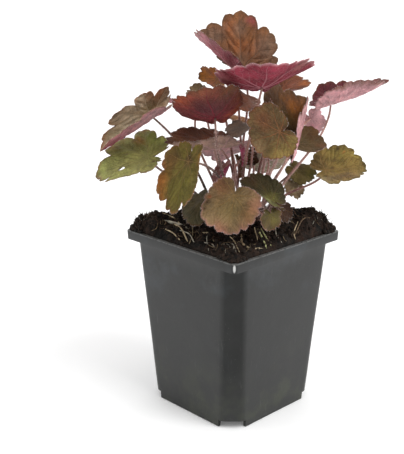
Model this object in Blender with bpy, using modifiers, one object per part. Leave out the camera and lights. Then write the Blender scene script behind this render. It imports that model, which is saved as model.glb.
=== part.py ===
"""Heuchera in a square nursery pot: pot, soil, crown, lobed leaves on petioles and dry stalks.

The origin is at the centre of the pot's base, on the surface that it stands on, with +Z up and the pot's
sides along X and Y. Sizes below are in millimetres, and MM turns them into Blender's metres.
"""

import math

import bmesh
import bpy
import numpy as np
from mathutils import Matrix

MM = 0.001

# The pot
POT_RIM_SIDE = 90.0
POT_HEIGHT = 106.0
RIM_BAND = 5.5
RIM_CORNER = 1.8
BODY_TOP_SIDE = 87.2
BODY_BASE_SIDE = 72.4
BODY_CORNER_CUT = 8.9
CORNER_SOFTNESS = 2.6
WALL = 1.2
FLOOR_UNDERSIDE = 4.0
FLOOR = 1.5
SKIRT_WALL = 2.0
DRAIN_RADIUS = 4.0
DRAIN_OFFSET = 20.0
FOOT_HALF_LENGTH = 25.0

# The soil and what grows out of it
FIT_GAP = 0.35
SOIL_EDGE_BELOW_RIM = 1.6
SOIL_MOUND = 9.0
SOIL_LUMP = 1.7
SOIL_CELLS = 19
CROWN_CENTRES = ((2.0, 4.0, 9.5), (12.0, 11.0, 8.5), (-5.0, -7.0, 8.0))
CROWN_TOP = 117.0
CROWN_DEPTH = 15.0
FOOT_SPACING = 3.6
FOOT_PULL = 0.24
HOLE_DEPTH = 9.0
HOLE_GAP = 0.55
HOLE_RISE = 4.0
CROWN_GAP = 0.5
STALK_LIFT = 0.25

# Leaves
BLADE = 0.7
PETIOLE_FOOT_RADIUS = 0.95
PETIOLE_TOP_RADIUS = 0.7
RIB_LENGTH = 0.32
PETIOLE_STEPS = 6
FOLD_SPAN = 5.0
LOBE_BOUNDS = (24.0, 72.0, 118.0, 160.0)
LOBE_CENTRES = (-139.0, -95.0, -48.0, 0.0, 48.0, 95.0, 139.0)
TOOTH_DEPTH = 0.055
CLEFT_ANGLES = (168.0, 175.0, 180.0)
SMALL_REACH = 16.0
RINGS = ((0.64, 16), (0.3, 8))
SMALL_RINGS = ((0.5, 8),)
LOBE_POINTS = 6
SMALL_LOBE_POINTS = 4
OUTLINE_ANGLES = (0, 30, 60, 90, 120, 145, 160, 170, 176, 180)
OUTLINE_SHARES = (1.0, 0.97, 0.88, 0.77, 0.63, 0.51, 0.43, 0.31, 0.17, 0.10)


class Leaf:
    """One leaf: where the petiole meets the blade, where the tip points, and how the blade is bent.

    base is in millimetres. heading is the tip's compass angle from +X, rise its angle above level, and roll
    leans the upper face towards the leaf's left. reach is petiole to tip. fold and curl raise the left and
    right halves, droop lowers the tip and the two lobes at the petiole. Angles are in degrees.
    """

    def __init__(self, name, base, heading, rise, roll, reach, fold=(8, 8), curl=(0, 0), droop=(12, 8),
                 broad=1.0, lobes=0.12, stretch=(1, 1, 1, 1, 1, 1, 1), ripple=0.8, foot=None, sway=(0, 0),
                 tint="bronze"):
        self.name = name
        self.base = np.array(base, float)
        self.heading = heading
        self.rise = rise
        self.roll = roll
        self.reach = reach
        self.fold = fold
        self.curl = curl
        self.droop = droop
        self.broad = broad
        self.lobes = lobes
        self.stretch = stretch
        self.ripple = ripple
        self.foot = foot
        self.sway = sway
        self.tint = tint


# name, petiole joint, heading, rise, roll, reach, then what sets the leaf apart
LEAVES = [
    Leaf("leaf_crest", (-2.5, 8, 199.5), 201, 36, 68, 36.5, fold=(100, 1), curl=(6, -11), droop=(12, 10),
         lobes=0.14, stretch=(1.05, 0.97, 1.0, 0.95, 1.0, 0.95, 0.95), foot=(-3, 6), sway=(-7.5, 6.5),
         tint="rust"),
    Leaf("leaf_magenta", (31, -11, 194.5), 323, 29, 2, 24, fold=(30, 15), curl=(-4, 14), droop=(-11, 0),
         broad=1.47, lobes=0.06, stretch=(1.0, 1.0, 0.85, 1.05, 0.9, 1.25, 0.7), sway=(-4.5, -2.5),
         tint="wine"),
    Leaf("leaf_maroon", (12, -27, 178), 303, 33, -12, 30, fold=(35, 22), curl=(31, 27), droop=(-7, 0),
         broad=1.14, lobes=0.06, stretch=(0.8, 1.0, 0.85, 1.05, 0.76, 0.72, 0.95), sway=(5, -8.5),
         tint="wine"),
    Leaf("leaf_left_folded", (-30.5, -35, 174), 239, -31, 17, 35, fold=(38, 104), curl=(4, 8),
         droop=(1, 5), broad=0.89, lobes=0.26, stretch=(1.12, 0.73, 0.8, 1.0, 1.3, 1.1, 0.9),
         tint="dusk"),
    Leaf("leaf_left_level", (0.5, -12, 158), 239, -4, 16, 29, fold=(44, 2), curl=(20, 11),
         droop=(-21, -12), lobes=0.08, stretch=(0.85, 0.95, 1.05, 1.1, 1.0, 0.95, 0.95), sway=(-1, 7),
         tint="dusk"),
    Leaf("leaf_left_green", (-21, -47, 153.5), 230, -12, 29, 30, fold=(23, 3), curl=(12, -16),
         droop=(17, 6), broad=1.06, lobes=0.21, stretch=(1.1, 1.0, 0.95, 1.05, 1.0, 0.8, 0.6),
         tint="moss"),
    Leaf("leaf_left_hanging", (9, -44, 155.5), 276, -63, 5, 31, fold=(27, 0), curl=(21, 22),
         droop=(-4, 4), broad=0.65, lobes=0.15, stretch=(0.85, 1.05, 1.0, 0.95, 1.05, 0.75, 0.85),
         sway=(3.5, 6), tint="copper"),
    Leaf("leaf_centre_face", (48.5, -15.5, 173.5), 236, -19, 53, 17, fold=(11, 14), curl=(24, 3),
         droop=(8, 6), broad=1.28, lobes=0.06, stretch=(0.85, 1.0, 1.05, 0.95, 1.0, 0.95, 1.0),
         foot=(12, 1), sway=(1, -1.5), tint="bronze"),
    Leaf("leaf_centre_tall", (36.5, 8, 160.5), 116, 41, -21, 35, fold=(41, 101), curl=(8, -4),
         droop=(-3, 6), broad=1.14, lobes=0.1, stretch=(0.95, 0.9, 0.8, 1.0, 1.1, 0.85, 0.65),
         tint="bronze"),
    Leaf("leaf_behind_magenta", (3.5, 33.5, 184.5), 33, 23, -31, 20, fold=(4, 37), curl=(-13, 8),
         droop=(19, 4), broad=0.8, stretch=(1.0, 0.95, 0.9, 1.0, 1.0, 0.95, 1.0), tint="rust"),
    Leaf("leaf_right_long", (33, 45.7, 179.5), 44, 16, -7, 32, fold=(-2, 34), curl=(38, 16),
         droop=(-13, -4), broad=1.13, lobes=0.06, stretch=(0.7, 1.0, 1.0, 1.1, 0.95, 1.1, 0.9),
         sway=(6.5, -2.5), tint="wine"),
    Leaf("leaf_right_pink", (15, 50, 168.5), 90, -49, 26, 14, fold=(23, 52), curl=(16, 2), droop=(0, 4),
         broad=0.77, sway=(-9.5, 3.5), tint="pale"),
    Leaf("leaf_right_brown", (30.5, 21, 159), 55, 1, -31, 17, fold=(12, 31), droop=(3, 4), broad=1.05,
         lobes=0.1, tint="bronze"),
    Leaf("leaf_right_green", (37, 38.5, 142), 50, 8, -30, 24, fold=(12, 26), curl=(11, -12), droop=(2, 6),
         lobes=0.1, stretch=(0.65, 0.95, 1.05, 1.0, 1.0, 0.85, 0.8), tint="moss"),
    Leaf("leaf_right_under", (16.5, 35.5, 140), 10, -19, -33, 14, fold=(1, -6), droop=(20, 6), broad=0.71,
         lobes=0.06, stretch=(0.9, 0.85, 1.05, 0.9, 1.15, 0.75, 0.95), sway=(-1, -1.5), tint="deep"),
    Leaf("leaf_right_low", (18.5, 31.5, 132), 343, -48, -10, 10, broad=0.8, tint="pale"),
    Leaf("leaf_front_low", (31, -31, 138.5), 287, -66, 5, 21, fold=(11, 16), curl=(-10, 5), droop=(5, 2),
         lobes=0.05, stretch=(1.1, 0.9, 1.1, 1.0, 1.0, 1.0, 0.65), tint="blush"),
    Leaf("leaf_front_pale", (45, -18, 128), 357, -78, -3, 9, fold=(11, 12), droop=(17, 6), broad=1.09,
         sway=(1, -1.5), tint="pale"),
    Leaf("leaf_front_dark", (38.5, -10, 134), 223, 33, 5, 20, fold=(16, 46), curl=(-14, 19), droop=(4, 4),
         broad=0.85, lobes=0.06, tint="deep"),
    Leaf("leaf_front_shade", (4, -26.5, 131), 285, -30, -3, 19, fold=(11, -8), curl=(-17, 4),
         droop=(23, 6), broad=0.84, stretch=(0.85, 1.1, 1.0, 1.0, 1.15, 1.05, 1.0), tint="deep"),
    Leaf("leaf_dry_curl", (32.5, 3.5, 126.5), 353, -44, 10, 11, fold=(20, 20), broad=0.9,
         sway=(-2.5, -1.5), tint="dry"),
    Leaf("leaf_gold_small", (-23.5, 10, 191), 262, 17, 38, 13, fold=(7, 9), droop=(14, 6), sway=(10, 0),
         tint="gold"),
    Leaf("leaf_mid_brown", (6, 12.5, 180), 279, 8, 18, 20, fold=(19, 9), droop=(18, 6), broad=1.24,
         sway=(9.5, 3.5), tint="bronze"),
    Leaf("leaf_mid_shade", (5, 7.5, 167.5), 267, -7, 0, 15, fold=(16, 9), droop=(20, 6), lobes=0.06,
         tint="deep"),
    Leaf("leaf_behind_maroon", (-11, -11, 183), 246, 22, 40, 13, sway=(-10, 8.5), tint="dusk"),
    Leaf("leaf_young_magenta", (8, -1, 150), 224, 86, 0, 9, fold=(62, 62), broad=0.8, tint="young"),
    Leaf("leaf_young_pink", (2.5, -11.5, 139), 71, 69, 0, 12, fold=(62, 66), broad=0.8, tint="young"),
    Leaf("leaf_young_green", (-1, 5.5, 141), 224, 86, 0, 10, fold=(60, 64), broad=0.8, tint="bronze"),
    Leaf("leaf_young_dark", (2, 13.5, 146.5), 120, 74, 0, 8, fold=(60, 60), broad=0.8, sway=(3, 0),
         tint="deep"),
    Leaf("leaf_back_pink", (-20, 18, 151), 155, -30, 0, 22, tint="pale"),
    Leaf("leaf_back_grey", (-9.5, 40.5, 141.5), 145, -35, 0, 20, tint="pale"),
    Leaf("leaf_back_centre", (-12, 40, 160), 150, 12, 0, 27, fold=(14, 10), droop=(20, 8),
         sway=(7.5, -6.5), tint="bronze"),
    Leaf("leaf_back_left", (-34, 3, 170.5), 177, 17, -18, 27, fold=(10, 14), droop=(18, 8),
         sway=(-2.5, -1.5), tint="dusk"),
    Leaf("leaf_back_high", (-13, 18.5, 201), 133, 22, -15, 23.5, fold=(16, 16), droop=(16, 8), sway=(0, 3),
         tint="rust"),
]

# Dry stalks lying on the soil: name, radius, and the places they pass over
STALKS = (
    ("stalk_left", 0.9, ((-28.8, -31.8), (-19.3, -30.9), (-10.0, -30.0), (-2.0, -32.5))),
    ("stalk_across", 0.8, ((-24.0, -14.0), (-16.9, -20.4), (-7.0, -25.5))),
    ("stalk_front", 0.8, ((24.0, -6.0), (29.0, -9.5), (34.5, -12.5), (39.5, -14.5))),
    ("root_curl", 0.55, ((24.8, -18.5), (30.0, -24.2), (35.5, -27.3), (39.5, -25.3), (40.5, -20.5))),
)

TINTS = {
    "rust": ((0.34, 0.12, 0.04), 0.5),
    "wine": ((0.22, 0.03, 0.05), 0.5),
    "dusk": ((0.19, 0.13, 0.07), 0.55),
    "moss": ((0.19, 0.19, 0.045), 0.5),
    "copper": ((0.22, 0.10, 0.03), 0.5),
    "bronze": ((0.14, 0.076, 0.032), 0.5),
    "pale": ((0.36, 0.18, 0.19), 0.6),
    "deep": ((0.045, 0.048, 0.026), 0.5),
    "blush": ((0.26, 0.155, 0.09), 0.5),
    "dry": ((0.13, 0.08, 0.05), 0.8),
    "gold": ((0.22, 0.10, 0.013), 0.5),
    "young": ((0.22, 0.03, 0.07), 0.5),
}
POT_GREY = (0.075, 0.075, 0.073)
PEAT = (0.012, 0.009, 0.007)
CROWN_BROWN = (0.06, 0.03, 0.018)
STRAW = (0.32, 0.22, 0.12)


def leaf_axes(leaf):
    """The tip direction, the leftward direction and the upper face's normal, as unit vectors."""
    a, r, o = (math.radians(x) for x in (leaf.heading, leaf.rise, leaf.roll))
    tip = np.array([math.cos(r) * math.cos(a), math.cos(r) * math.sin(a), math.sin(r)])
    up = np.array([-math.sin(r) * math.cos(a), -math.sin(r) * math.sin(a), math.cos(r)])
    left = np.cross(up, tip)
    normal = up * math.cos(o) + left * math.sin(o)
    return tip, np.cross(normal, tip), normal


def outline_share(leaf, angle):
    """The margin's distance from the petiole, as a share of reach, at each angle from the tip."""
    signed = (np.asarray(angle, float) + 180.0) % 360.0 - 180.0
    a = np.abs(signed)
    share = np.interp(a, OUTLINE_ANGLES, OUTLINE_SHARES) * np.interp(signed, LOBE_CENTRES, leaf.stretch)
    bounds = np.array((-LOBE_BOUNDS[0],) + LOBE_BOUNDS)
    k = np.clip(np.searchsorted(bounds, a, side="right") - 1, 0, len(bounds) - 2)
    across = 2.0 * (a - bounds[k]) / (bounds[k + 1] - bounds[k]) - 1.0
    inside = a < LOBE_BOUNDS[-1]
    share = share * (1.0 - leaf.lobes * inside * np.abs(across) ** 3)
    tooth = (across * 1.5 + 0.5) % 1.0 * 2.0 - 1.0
    share = share * (1.0 - TOOTH_DEPTH * inside * np.abs(tooth) ** 3)
    return share


def walk(distance, turns):
    """Goes that far along a strip that turns by each (start, span, angle), and gives run, lift and slope."""
    grid = np.linspace(0.0, max(float(np.max(distance)), 1e-6), 160)
    slope = sum(math.radians(angle) * np.clip((grid - start) / span, 0.0, 1.0) for start, span, angle in turns)
    step = np.diff(grid)
    middle = (slope[1:] + slope[:-1]) / 2.0
    run = np.concatenate([[0.0], np.cumsum(np.cos(middle) * step)])
    lift = np.concatenate([[0.0], np.cumsum(np.sin(middle) * step)])
    return tuple(np.interp(distance, grid, values) for values in (run, lift, slope))


def blade_points(leaf, angle, share):
    """World points, in millimetres, of the blade's middle surface, at an angle from the tip and a share of the way out."""
    angle = np.asarray(angle, float)
    share = np.asarray(share, float)
    radius = leaf.reach * outline_share(leaf, angle) * share
    x = radius * np.cos(np.radians(angle))
    y = radius * np.sin(np.radians(angle)) * leaf.broad
    height = leaf.ripple * share ** 3 * np.sin(np.radians(angle) * 5.0 + leaf.heading)
    side = np.zeros_like(x)
    rise = np.zeros_like(x)
    half = leaf.reach * leaf.broad * 0.9
    for sign, fold, curl in ((1, leaf.fold[0], leaf.curl[0]), (-1, leaf.fold[1], leaf.curl[1])):
        mine = (y * sign >= 0)
        run, lift, slope = walk(np.abs(y), [(0.0, FOLD_SPAN, fold), (half * 0.45, half * 0.4, curl)])
        side = np.where(mine, sign * (run - height * np.sin(slope)), side)
        rise = np.where(mine, lift + height * np.cos(slope), rise)
    along = np.zeros_like(x)
    over = np.zeros_like(x)
    for sign, droop in ((1, leaf.droop[0]), (-1, leaf.droop[1])):
        mine = (x * sign >= 0)
        run, lift, slope = walk(np.abs(x), [(leaf.reach * 0.12, leaf.reach * 0.75, -droop)])
        along = np.where(mine, sign * (run - rise * np.sin(slope)), along)
        over = np.where(mine, lift + rise * np.cos(slope), over)
    tip, left, normal = leaf_axes(leaf)
    return leaf.base + along[..., None] * tip + side[..., None] * left + over[..., None] * normal


def plant_feet():
    """Where each petiole leaves the crown: near the middle, towards its blade, and apart from the others."""
    middle = np.array([3.0, 3.0])
    feet = []
    for leaf in LEAVES:
        out = leaf.base[:2] - middle
        feet.append(np.array(leaf.foot, float) if leaf.foot else middle + FOOT_PULL * out)
    feet = np.array(feet)
    for _ in range(200):
        for i in range(len(feet)):
            for j in range(i):
                apart = feet[i] - feet[j]
                distance = max(float(np.hypot(*apart)), 1e-3)
                if distance < FOOT_SPACING:
                    push = apart / distance * (FOOT_SPACING - distance) / 2.0
                    if distance < 1e-2:
                        push = np.array([0.5, 0.3])
                    feet[i] += push * (0.0 if LEAVES[i].foot else 1.0)
                    feet[j] -= push * (0.0 if LEAVES[j].foot else 1.0)
    return feet


def soil_height(x, y):
    """The soil's lumpy top, in millimetres above the base, heaped towards the middle."""
    edge = np.clip(np.maximum(np.abs(x), np.abs(y)) / (POT_RIM_SIDE / 2.0), 0.0, 1.0)
    heap = SOIL_MOUND * (1.0 - edge ** 5)
    lumps = (np.sin(x * 0.31 + 1.3) * np.cos(y * 0.27 + 0.4) + 0.6 * np.sin(x * 0.71 - y * 0.53)
             + 0.5 * np.cos(x * 0.23 + y * 0.93 + 2.0))
    return POT_HEIGHT - SOIL_EDGE_BELOW_RIM + heap + SOIL_LUMP * 0.6 * lumps * (0.35 + 0.65 * (1.0 - edge ** 4))


def petiole_path(leaf, foot):
    """Points from the foot of the petiole, down in its hole, up to the blade and on along its midrib."""
    tip, left, normal = leaf_axes(leaf)
    ground = float(soil_height(foot[0], foot[1]))
    bottom = np.array([foot[0], foot[1], ground - HOLE_DEPTH])
    top = leaf.base - normal * (PETIOLE_TOP_RADIUS + 0.1)
    lean = top - bottom
    length = float(np.linalg.norm(lean))
    lean_out = np.array([lean[0], lean[1], 0.0]) / length
    start = np.array([0.0, 0.0, 1.0]) + 0.55 * lean_out
    start /= np.linalg.norm(start)
    arrive = 0.8 * normal + 0.45 * tip + np.array([0.0, 0.0, 0.25])
    arrive /= np.linalg.norm(arrive)
    mouth = bottom + start * (HOLE_DEPTH + 2.0)
    sway = np.array([leaf.sway[0], leaf.sway[1], 0.0])
    one = mouth + start * length * 0.35 + sway
    two = top - arrive * length * 0.28 + sway
    points = [bottom]
    for t in np.linspace(0.0, 1.0, PETIOLE_STEPS):
        points.append((1 - t) ** 3 * mouth + 3 * t * (1 - t) ** 2 * one + 3 * t * t * (1 - t) * two + t ** 3 * top)
    rib = leaf.reach * RIB_LENGTH
    for share, drop in ((0.35, 0.55), (1.0, 0.3)):
        on_blade = blade_points(leaf, 0.0, rib * share / leaf.reach)
        points.append(on_blade - normal * drop)
    return points


def clear_scene():
    for obj in list(bpy.data.objects):
        bpy.data.objects.remove(obj, do_unlink=True)
    for collection in list(bpy.data.collections):
        bpy.data.collections.remove(collection)


def new_collection(name, parent, shown):
    collection = bpy.data.collections.new(name)
    parent.children.link(collection)
    collection.hide_render = not shown
    return collection


def new_object(name, mesh, collection):
    obj = bpy.data.objects.new(name, mesh)
    if collection.hide_render:
        obj.hide_render = True
        obj.display_type = "WIRE"
    collection.objects.link(obj)
    return obj


def object_from(bm, name, collection):
    """Turns the bmesh, in millimetres, into an object with its faces pointing out."""
    bmesh.ops.recalc_face_normals(bm, faces=bm.faces)
    bmesh.ops.scale(bm, vec=(MM, MM, MM), verts=bm.verts)
    mesh = bpy.data.meshes.new(name)
    bm.to_mesh(mesh)
    bm.free()
    return new_object(name, mesh, collection)


def give_material(obj, colour, roughness):
    material = bpy.data.materials.new(obj.name)
    material.use_nodes = True
    shader = material.node_tree.nodes["Principled BSDF"]
    shader.inputs["Base Color"].default_value = (*colour, 1.0)
    shader.inputs["Roughness"].default_value = roughness
    shader.inputs["Metallic"].default_value = 0.0
    obj.data.materials.clear()
    obj.data.materials.append(material)


def shade(obj, sharp_above):
    obj.data.shade_smooth()
    obj.data.set_sharp_from_angle(angle=math.radians(sharp_above))


def boolean(obj, operation, tool):
    """Adds an exact Boolean with another mesh object, or with every object of a collection."""
    modifier = obj.modifiers.new(operation.lower(), "BOOLEAN")
    modifier.operation = operation
    modifier.solver = "EXACT"
    if isinstance(tool, bpy.types.Collection):
        modifier.operand_type = "COLLECTION"
        modifier.collection = tool
    else:
        modifier.object = tool


def evaluated_mesh(obj):
    bpy.context.view_layer.update()
    return bpy.data.meshes.new_from_object(obj.evaluated_get(bpy.context.evaluated_depsgraph_get()))


def apply_modifiers(obj):
    mesh = evaluated_mesh(obj)
    plain = obj.data
    obj.modifiers.clear()
    obj.data = mesh
    bpy.data.meshes.remove(plain)
    mesh.name = obj.name


def tube(name, points, radii, roundness, collection):
    """A closed tube along the points, in millimetres, with a radius at each of them."""
    curve = bpy.data.curves.new(name, "CURVE")
    curve.dimensions = "3D"
    curve.bevel_depth = MM
    curve.bevel_resolution = roundness
    curve.use_fill_caps = True
    spline = curve.splines.new("POLY")
    spline.points.add(len(points) - 1)
    for knot, place, radius in zip(spline.points, points, radii):
        knot.co = (*(np.asarray(place, float) * MM), 1.0)
        knot.radius = radius
    line = bpy.data.objects.new(name + "_line", curve)
    collection.objects.link(line)
    mesh = evaluated_mesh(line)
    bm = bmesh.new()
    bm.from_mesh(mesh)
    bmesh.ops.remove_doubles(bm, verts=bm.verts, dist=1e-6)
    bmesh.ops.recalc_face_normals(bm, faces=bm.faces)
    bm.to_mesh(mesh)
    bm.free()
    obj = new_object(name, mesh, collection)
    obj.matrix_world = line.matrix_world
    bpy.data.objects.remove(line, do_unlink=True)
    bpy.data.curves.remove(curve)
    return obj


def body_side(height):
    """The side of the pot's tapering body at that height."""
    return BODY_BASE_SIDE + (BODY_TOP_SIDE - BODY_BASE_SIDE) * height / POT_HEIGHT


def tapered_block(name, low, high, side_low, side_high, cut, softness, collection):
    """A square block from low to high whose four upright corners are cut off, then eased by softness."""
    bm = bmesh.new()
    bmesh.ops.create_cube(bm, size=2.0)
    for vert in bm.verts:
        half, height = (side_high / 2.0, high) if vert.co.z > 0 else (side_low / 2.0, low)
        vert.co = (vert.co.x * half, vert.co.y * half, height)
    for width, steps in ((cut, 1), (softness, 2)):
        upright = [edge for edge in bm.edges if abs(edge.verts[0].co.z - edge.verts[1].co.z) > (high - low) / 2.0]
        if width:
            bmesh.ops.bevel(bm, geom=upright, offset=width, offset_type="OFFSET", segments=steps,
                            profile=0.5, affect="EDGES")
    return object_from(bm, name, collection)


def box(name, low, high, collection):
    bm = bmesh.new()
    bmesh.ops.create_cube(bm, size=1.0)
    for vert in bm.verts:
        vert.co = [high[k] if vert.co[k] > 0 else low[k] for k in range(3)]
    return object_from(bm, name, collection)


def cylinder(name, centre, radius, low, high, collection):
    bm = bmesh.new()
    place = Matrix.Translation((centre[0], centre[1], (low + high) / 2.0))
    bmesh.ops.create_cone(bm, cap_ends=True, segments=20, radius1=radius, radius2=radius,
                          depth=high - low, matrix=place)
    return object_from(bm, name, collection)


def ellipsoid(name, centre, radius, half_height, collection):
    bm = bmesh.new()
    size = Matrix.Diagonal((radius, radius, half_height, 1.0))
    bmesh.ops.create_uvsphere(bm, u_segments=10, v_segments=6, radius=1.0,
                              matrix=Matrix.Translation(centre) @ size)
    return object_from(bm, name, collection)


def build_pot(parts, cutters):
    """A thin tapered pot with cut corners, a square rim, a floor with holes and a foot skirt on each side."""
    pot = tapered_block("pot", 0.0, POT_HEIGHT - 0.5, BODY_BASE_SIDE, body_side(POT_HEIGHT - 0.5),
                        BODY_CORNER_CUT, CORNER_SOFTNESS, parts)
    rim = tapered_block("rim_band", POT_HEIGHT - RIM_BAND, POT_HEIGHT, POT_RIM_SIDE - 0.4, POT_RIM_SIDE,
                        RIM_CORNER, 0.0, cutters)
    floor_top = FLOOR_UNDERSIDE + FLOOR
    inner_cut = BODY_CORNER_CUT - WALL * (2.0 - math.sqrt(2.0))
    room = tapered_block("room", floor_top, POT_HEIGHT + 5.0, body_side(floor_top) - 2.0 * WALL,
                         body_side(POT_HEIGHT + 5.0) - 2.0 * WALL, inner_cut, CORNER_SOFTNESS, cutters)
    under = new_collection("under_the_pot", cutters, shown=False)
    recess = BODY_BASE_SIDE - 2.0 * SKIRT_WALL
    tapered_block("recess", -5.0, FLOOR_UNDERSIDE, recess, recess, BODY_CORNER_CUT, 0.0, under)
    far = BODY_BASE_SIDE
    for x in (-1, 1):
        for y in (-1, 1):
            corner = sorted((x * FOOT_HALF_LENGTH, x * far)), sorted((y * FOOT_HALF_LENGTH, y * far))
            box(f"notch_{x}_{y}", (corner[0][0], corner[1][0], -5.0),
                (corner[0][1], corner[1][1], FLOOR_UNDERSIDE), under)
            cylinder(f"drain_{x}_{y}", (x * DRAIN_OFFSET, y * DRAIN_OFFSET), DRAIN_RADIUS,
                     FLOOR_UNDERSIDE - 2.0, floor_top + 2.0, under)
    boolean(pot, "UNION", rim)
    boolean(pot, "DIFFERENCE", room)
    boolean(pot, "DIFFERENCE", under)
    give_material(pot, POT_GREY, 0.45)
    return pot


def build_crown(parts, cutters, holes):
    """The short woody crown: three knobs grown together, with a hole round the foot of each petiole."""
    knobs = new_collection("knobs", cutters, shown=False)
    half = CROWN_DEPTH / 2.0
    first, *others = CROWN_CENTRES
    crown = ellipsoid("crown", (first[0], first[1], CROWN_TOP - half), first[2], half, parts)
    for number, (x, y, radius) in enumerate(others):
        ellipsoid(f"knob_{number}", (x, y, CROWN_TOP - half - 1.0), radius, half, knobs)
    boolean(crown, "UNION", knobs)
    boolean(crown, "DIFFERENCE", holes)
    give_material(crown, CROWN_BROWN, 0.85)
    shade(crown, 50)
    return crown


def build_soil(parts, cutters, holes, grooves):
    """Peat that fills the pot and heaps above its rim, with room left for the crown, petioles and stalks."""
    bm = bmesh.new()
    bmesh.ops.create_grid(bm, x_segments=SOIL_CELLS, y_segments=SOIL_CELLS, size=POT_RIM_SIDE / 2.0)
    for vert in bm.verts:
        vert.co.z = float(soil_height(vert.co.x, vert.co.y))
    edges = [edge for edge in bm.edges if edge.is_boundary]
    skirt = bmesh.ops.extrude_edge_only(bm, edges=edges)["geom"]
    for vert in skirt:
        if isinstance(vert, bmesh.types.BMVert):
            vert.co.z = 0.0
    bmesh.ops.holes_fill(bm, edges=[edge for edge in bm.edges if edge.is_boundary], sides=0)
    bmesh.ops.triangulate(bm, faces=bm.faces)
    soil = object_from(bm, "soil", parts)
    low = FLOOR_UNDERSIDE + FLOOR + FIT_GAP
    high = POT_HEIGHT + 20.0
    inset = 2.0 * (WALL + FIT_GAP)
    inner_cut = BODY_CORNER_CUT - (WALL + FIT_GAP) * (2.0 - math.sqrt(2.0))
    plug = tapered_block("plug", low, high, body_side(low) - inset, body_side(high) - inset, inner_cut,
                         CORNER_SOFTNESS, cutters)
    room = new_collection("crown_room", cutters, shown=False)
    half = CROWN_DEPTH / 2.0
    for number, (x, y, radius) in enumerate(CROWN_CENTRES):
        lower = 1.0 if number else 0.0
        ellipsoid(f"room_{number}", (x, y, CROWN_TOP - half - lower), radius + CROWN_GAP, half + CROWN_GAP, room)
    boolean(soil, "INTERSECT", plug)
    boolean(soil, "DIFFERENCE", room)
    boolean(soil, "DIFFERENCE", holes)
    boolean(soil, "DIFFERENCE", grooves)
    give_material(soil, PEAT, 0.95)
    return soil


def build_hole(leaf, path, holes):
    """Room round the petiole, from just below its foot to just above the ground."""
    foot, mouth = path[:2]
    up = (mouth - foot) / np.linalg.norm(mouth - foot)
    ends = (foot - up * HOLE_GAP, mouth + up * HOLE_RISE)
    tube("hole_" + leaf.name, ends, [PETIOLE_FOOT_RADIUS + HOLE_GAP] * 2, 1, holes)


def ring_angles(per_lobe):
    """The angles of the margin's points: those across each lobe, and the sides of the petiole's cleft."""
    half = [0.0]
    bounds = (-LOBE_BOUNDS[0],) + LOBE_BOUNDS
    for low, high in zip(bounds, bounds[1:]):
        half += [low + (high - low) * step / per_lobe for step in range(1, per_lobe + 1)]
    half = sorted({round(angle, 3) for angle in half if angle >= 0.0})
    half += list(CLEFT_ANGLES)
    return [-angle for angle in reversed(half) if angle] + half


def zipper(outer, inner):
    """Triangles between two rings of (angle, vertex) pairs that both go once round from -180 degrees."""
    faces = []
    i = j = 0
    while i < len(outer) - 1 or j < len(inner) - 1:
        outward = i < len(outer) - 1 and (j == len(inner) - 1 or outer[i + 1][0] <= inner[j + 1][0])
        if outward:
            faces.append((outer[i][1], outer[i + 1][1], inner[j][1]))
            i += 1
        else:
            faces.append((outer[i][1], inner[j + 1][1], inner[j][1]))
            j += 1
    return faces


def build_leaf(leaf, path, parts):
    """The blade, thickened from its middle surface, joined with its petiole and midrib."""
    small = leaf.reach < SMALL_REACH
    rings = [(1.0, ring_angles(SMALL_LOBE_POINTS if small else LOBE_POINTS))]
    for share, count in (SMALL_RINGS if small else RINGS):
        rings.append((share, [-180.0 + 360.0 * step / count for step in range(1, count + 1)]))
    points = []
    loops = []
    for share, angles in rings:
        first = len(points)
        places = blade_points(leaf, np.array(angles), np.full(len(angles), share))
        points += [tuple(place * MM) for place in places]
        loop = [(angle, first + number) for number, angle in enumerate(angles)]
        loops.append([(-180.0, loop[-1][1])] + loop)
    faces = []
    for outer, inner in zip(loops, loops[1:]):
        faces += zipper(outer, inner)
    centre = len(points)
    points.append(tuple(leaf.base * MM))
    innermost = [number for _, number in loops[-1]]
    faces += [(one, two, centre) for one, two in zip(innermost, innermost[1:])]
    mesh = bpy.data.meshes.new(leaf.name)
    mesh.from_pydata(points, [], faces)
    blade = new_object(leaf.name, mesh, parts)
    thickness = blade.modifiers.new("thickness", "SOLIDIFY")
    thickness.thickness = BLADE * MM
    thickness.offset = 0.0
    radii = np.linspace(PETIOLE_FOOT_RADIUS, PETIOLE_TOP_RADIUS, len(path) - 2)
    radii = [float(radius) for radius in radii] + [PETIOLE_TOP_RADIUS * 0.85, PETIOLE_TOP_RADIUS * 0.6]
    stalks = new_collection("stalk_of_" + leaf.name, parts, shown=True)
    petiole = tube(leaf.name + "_petiole", path, radii, 0 if small else 1, stalks)
    boolean(blade, "UNION", stalks)
    apply_modifiers(blade)
    bpy.data.objects.remove(petiole, do_unlink=True)
    bpy.data.collections.remove(stalks)
    give_material(blade, *TINTS[leaf.tint])
    shade(blade, 60)


def stalk_path(places, radius):
    """The stalk's points on the soil, sunk to a little under half of its thickness."""
    points = []
    for x, y in places:
        points.append(np.array([x, y, float(soil_height(x, y)) + radius * STALK_LIFT]))
    return points


def build_stalk(name, radius, places, parts, grooves):
    path = stalk_path(places, radius)
    stalk = tube(name, path, [radius] * len(path), 1, parts)
    ends = [path[0] + (path[0] - path[1]) * 0.1] + path[1:-1] + [path[-1] + (path[-1] - path[-2]) * 0.1]
    tube("groove_" + name, ends, [radius + HOLE_GAP] * len(path), 1, grooves)
    give_material(stalk, STRAW, 0.8)
    shade(stalk, 50)


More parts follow.
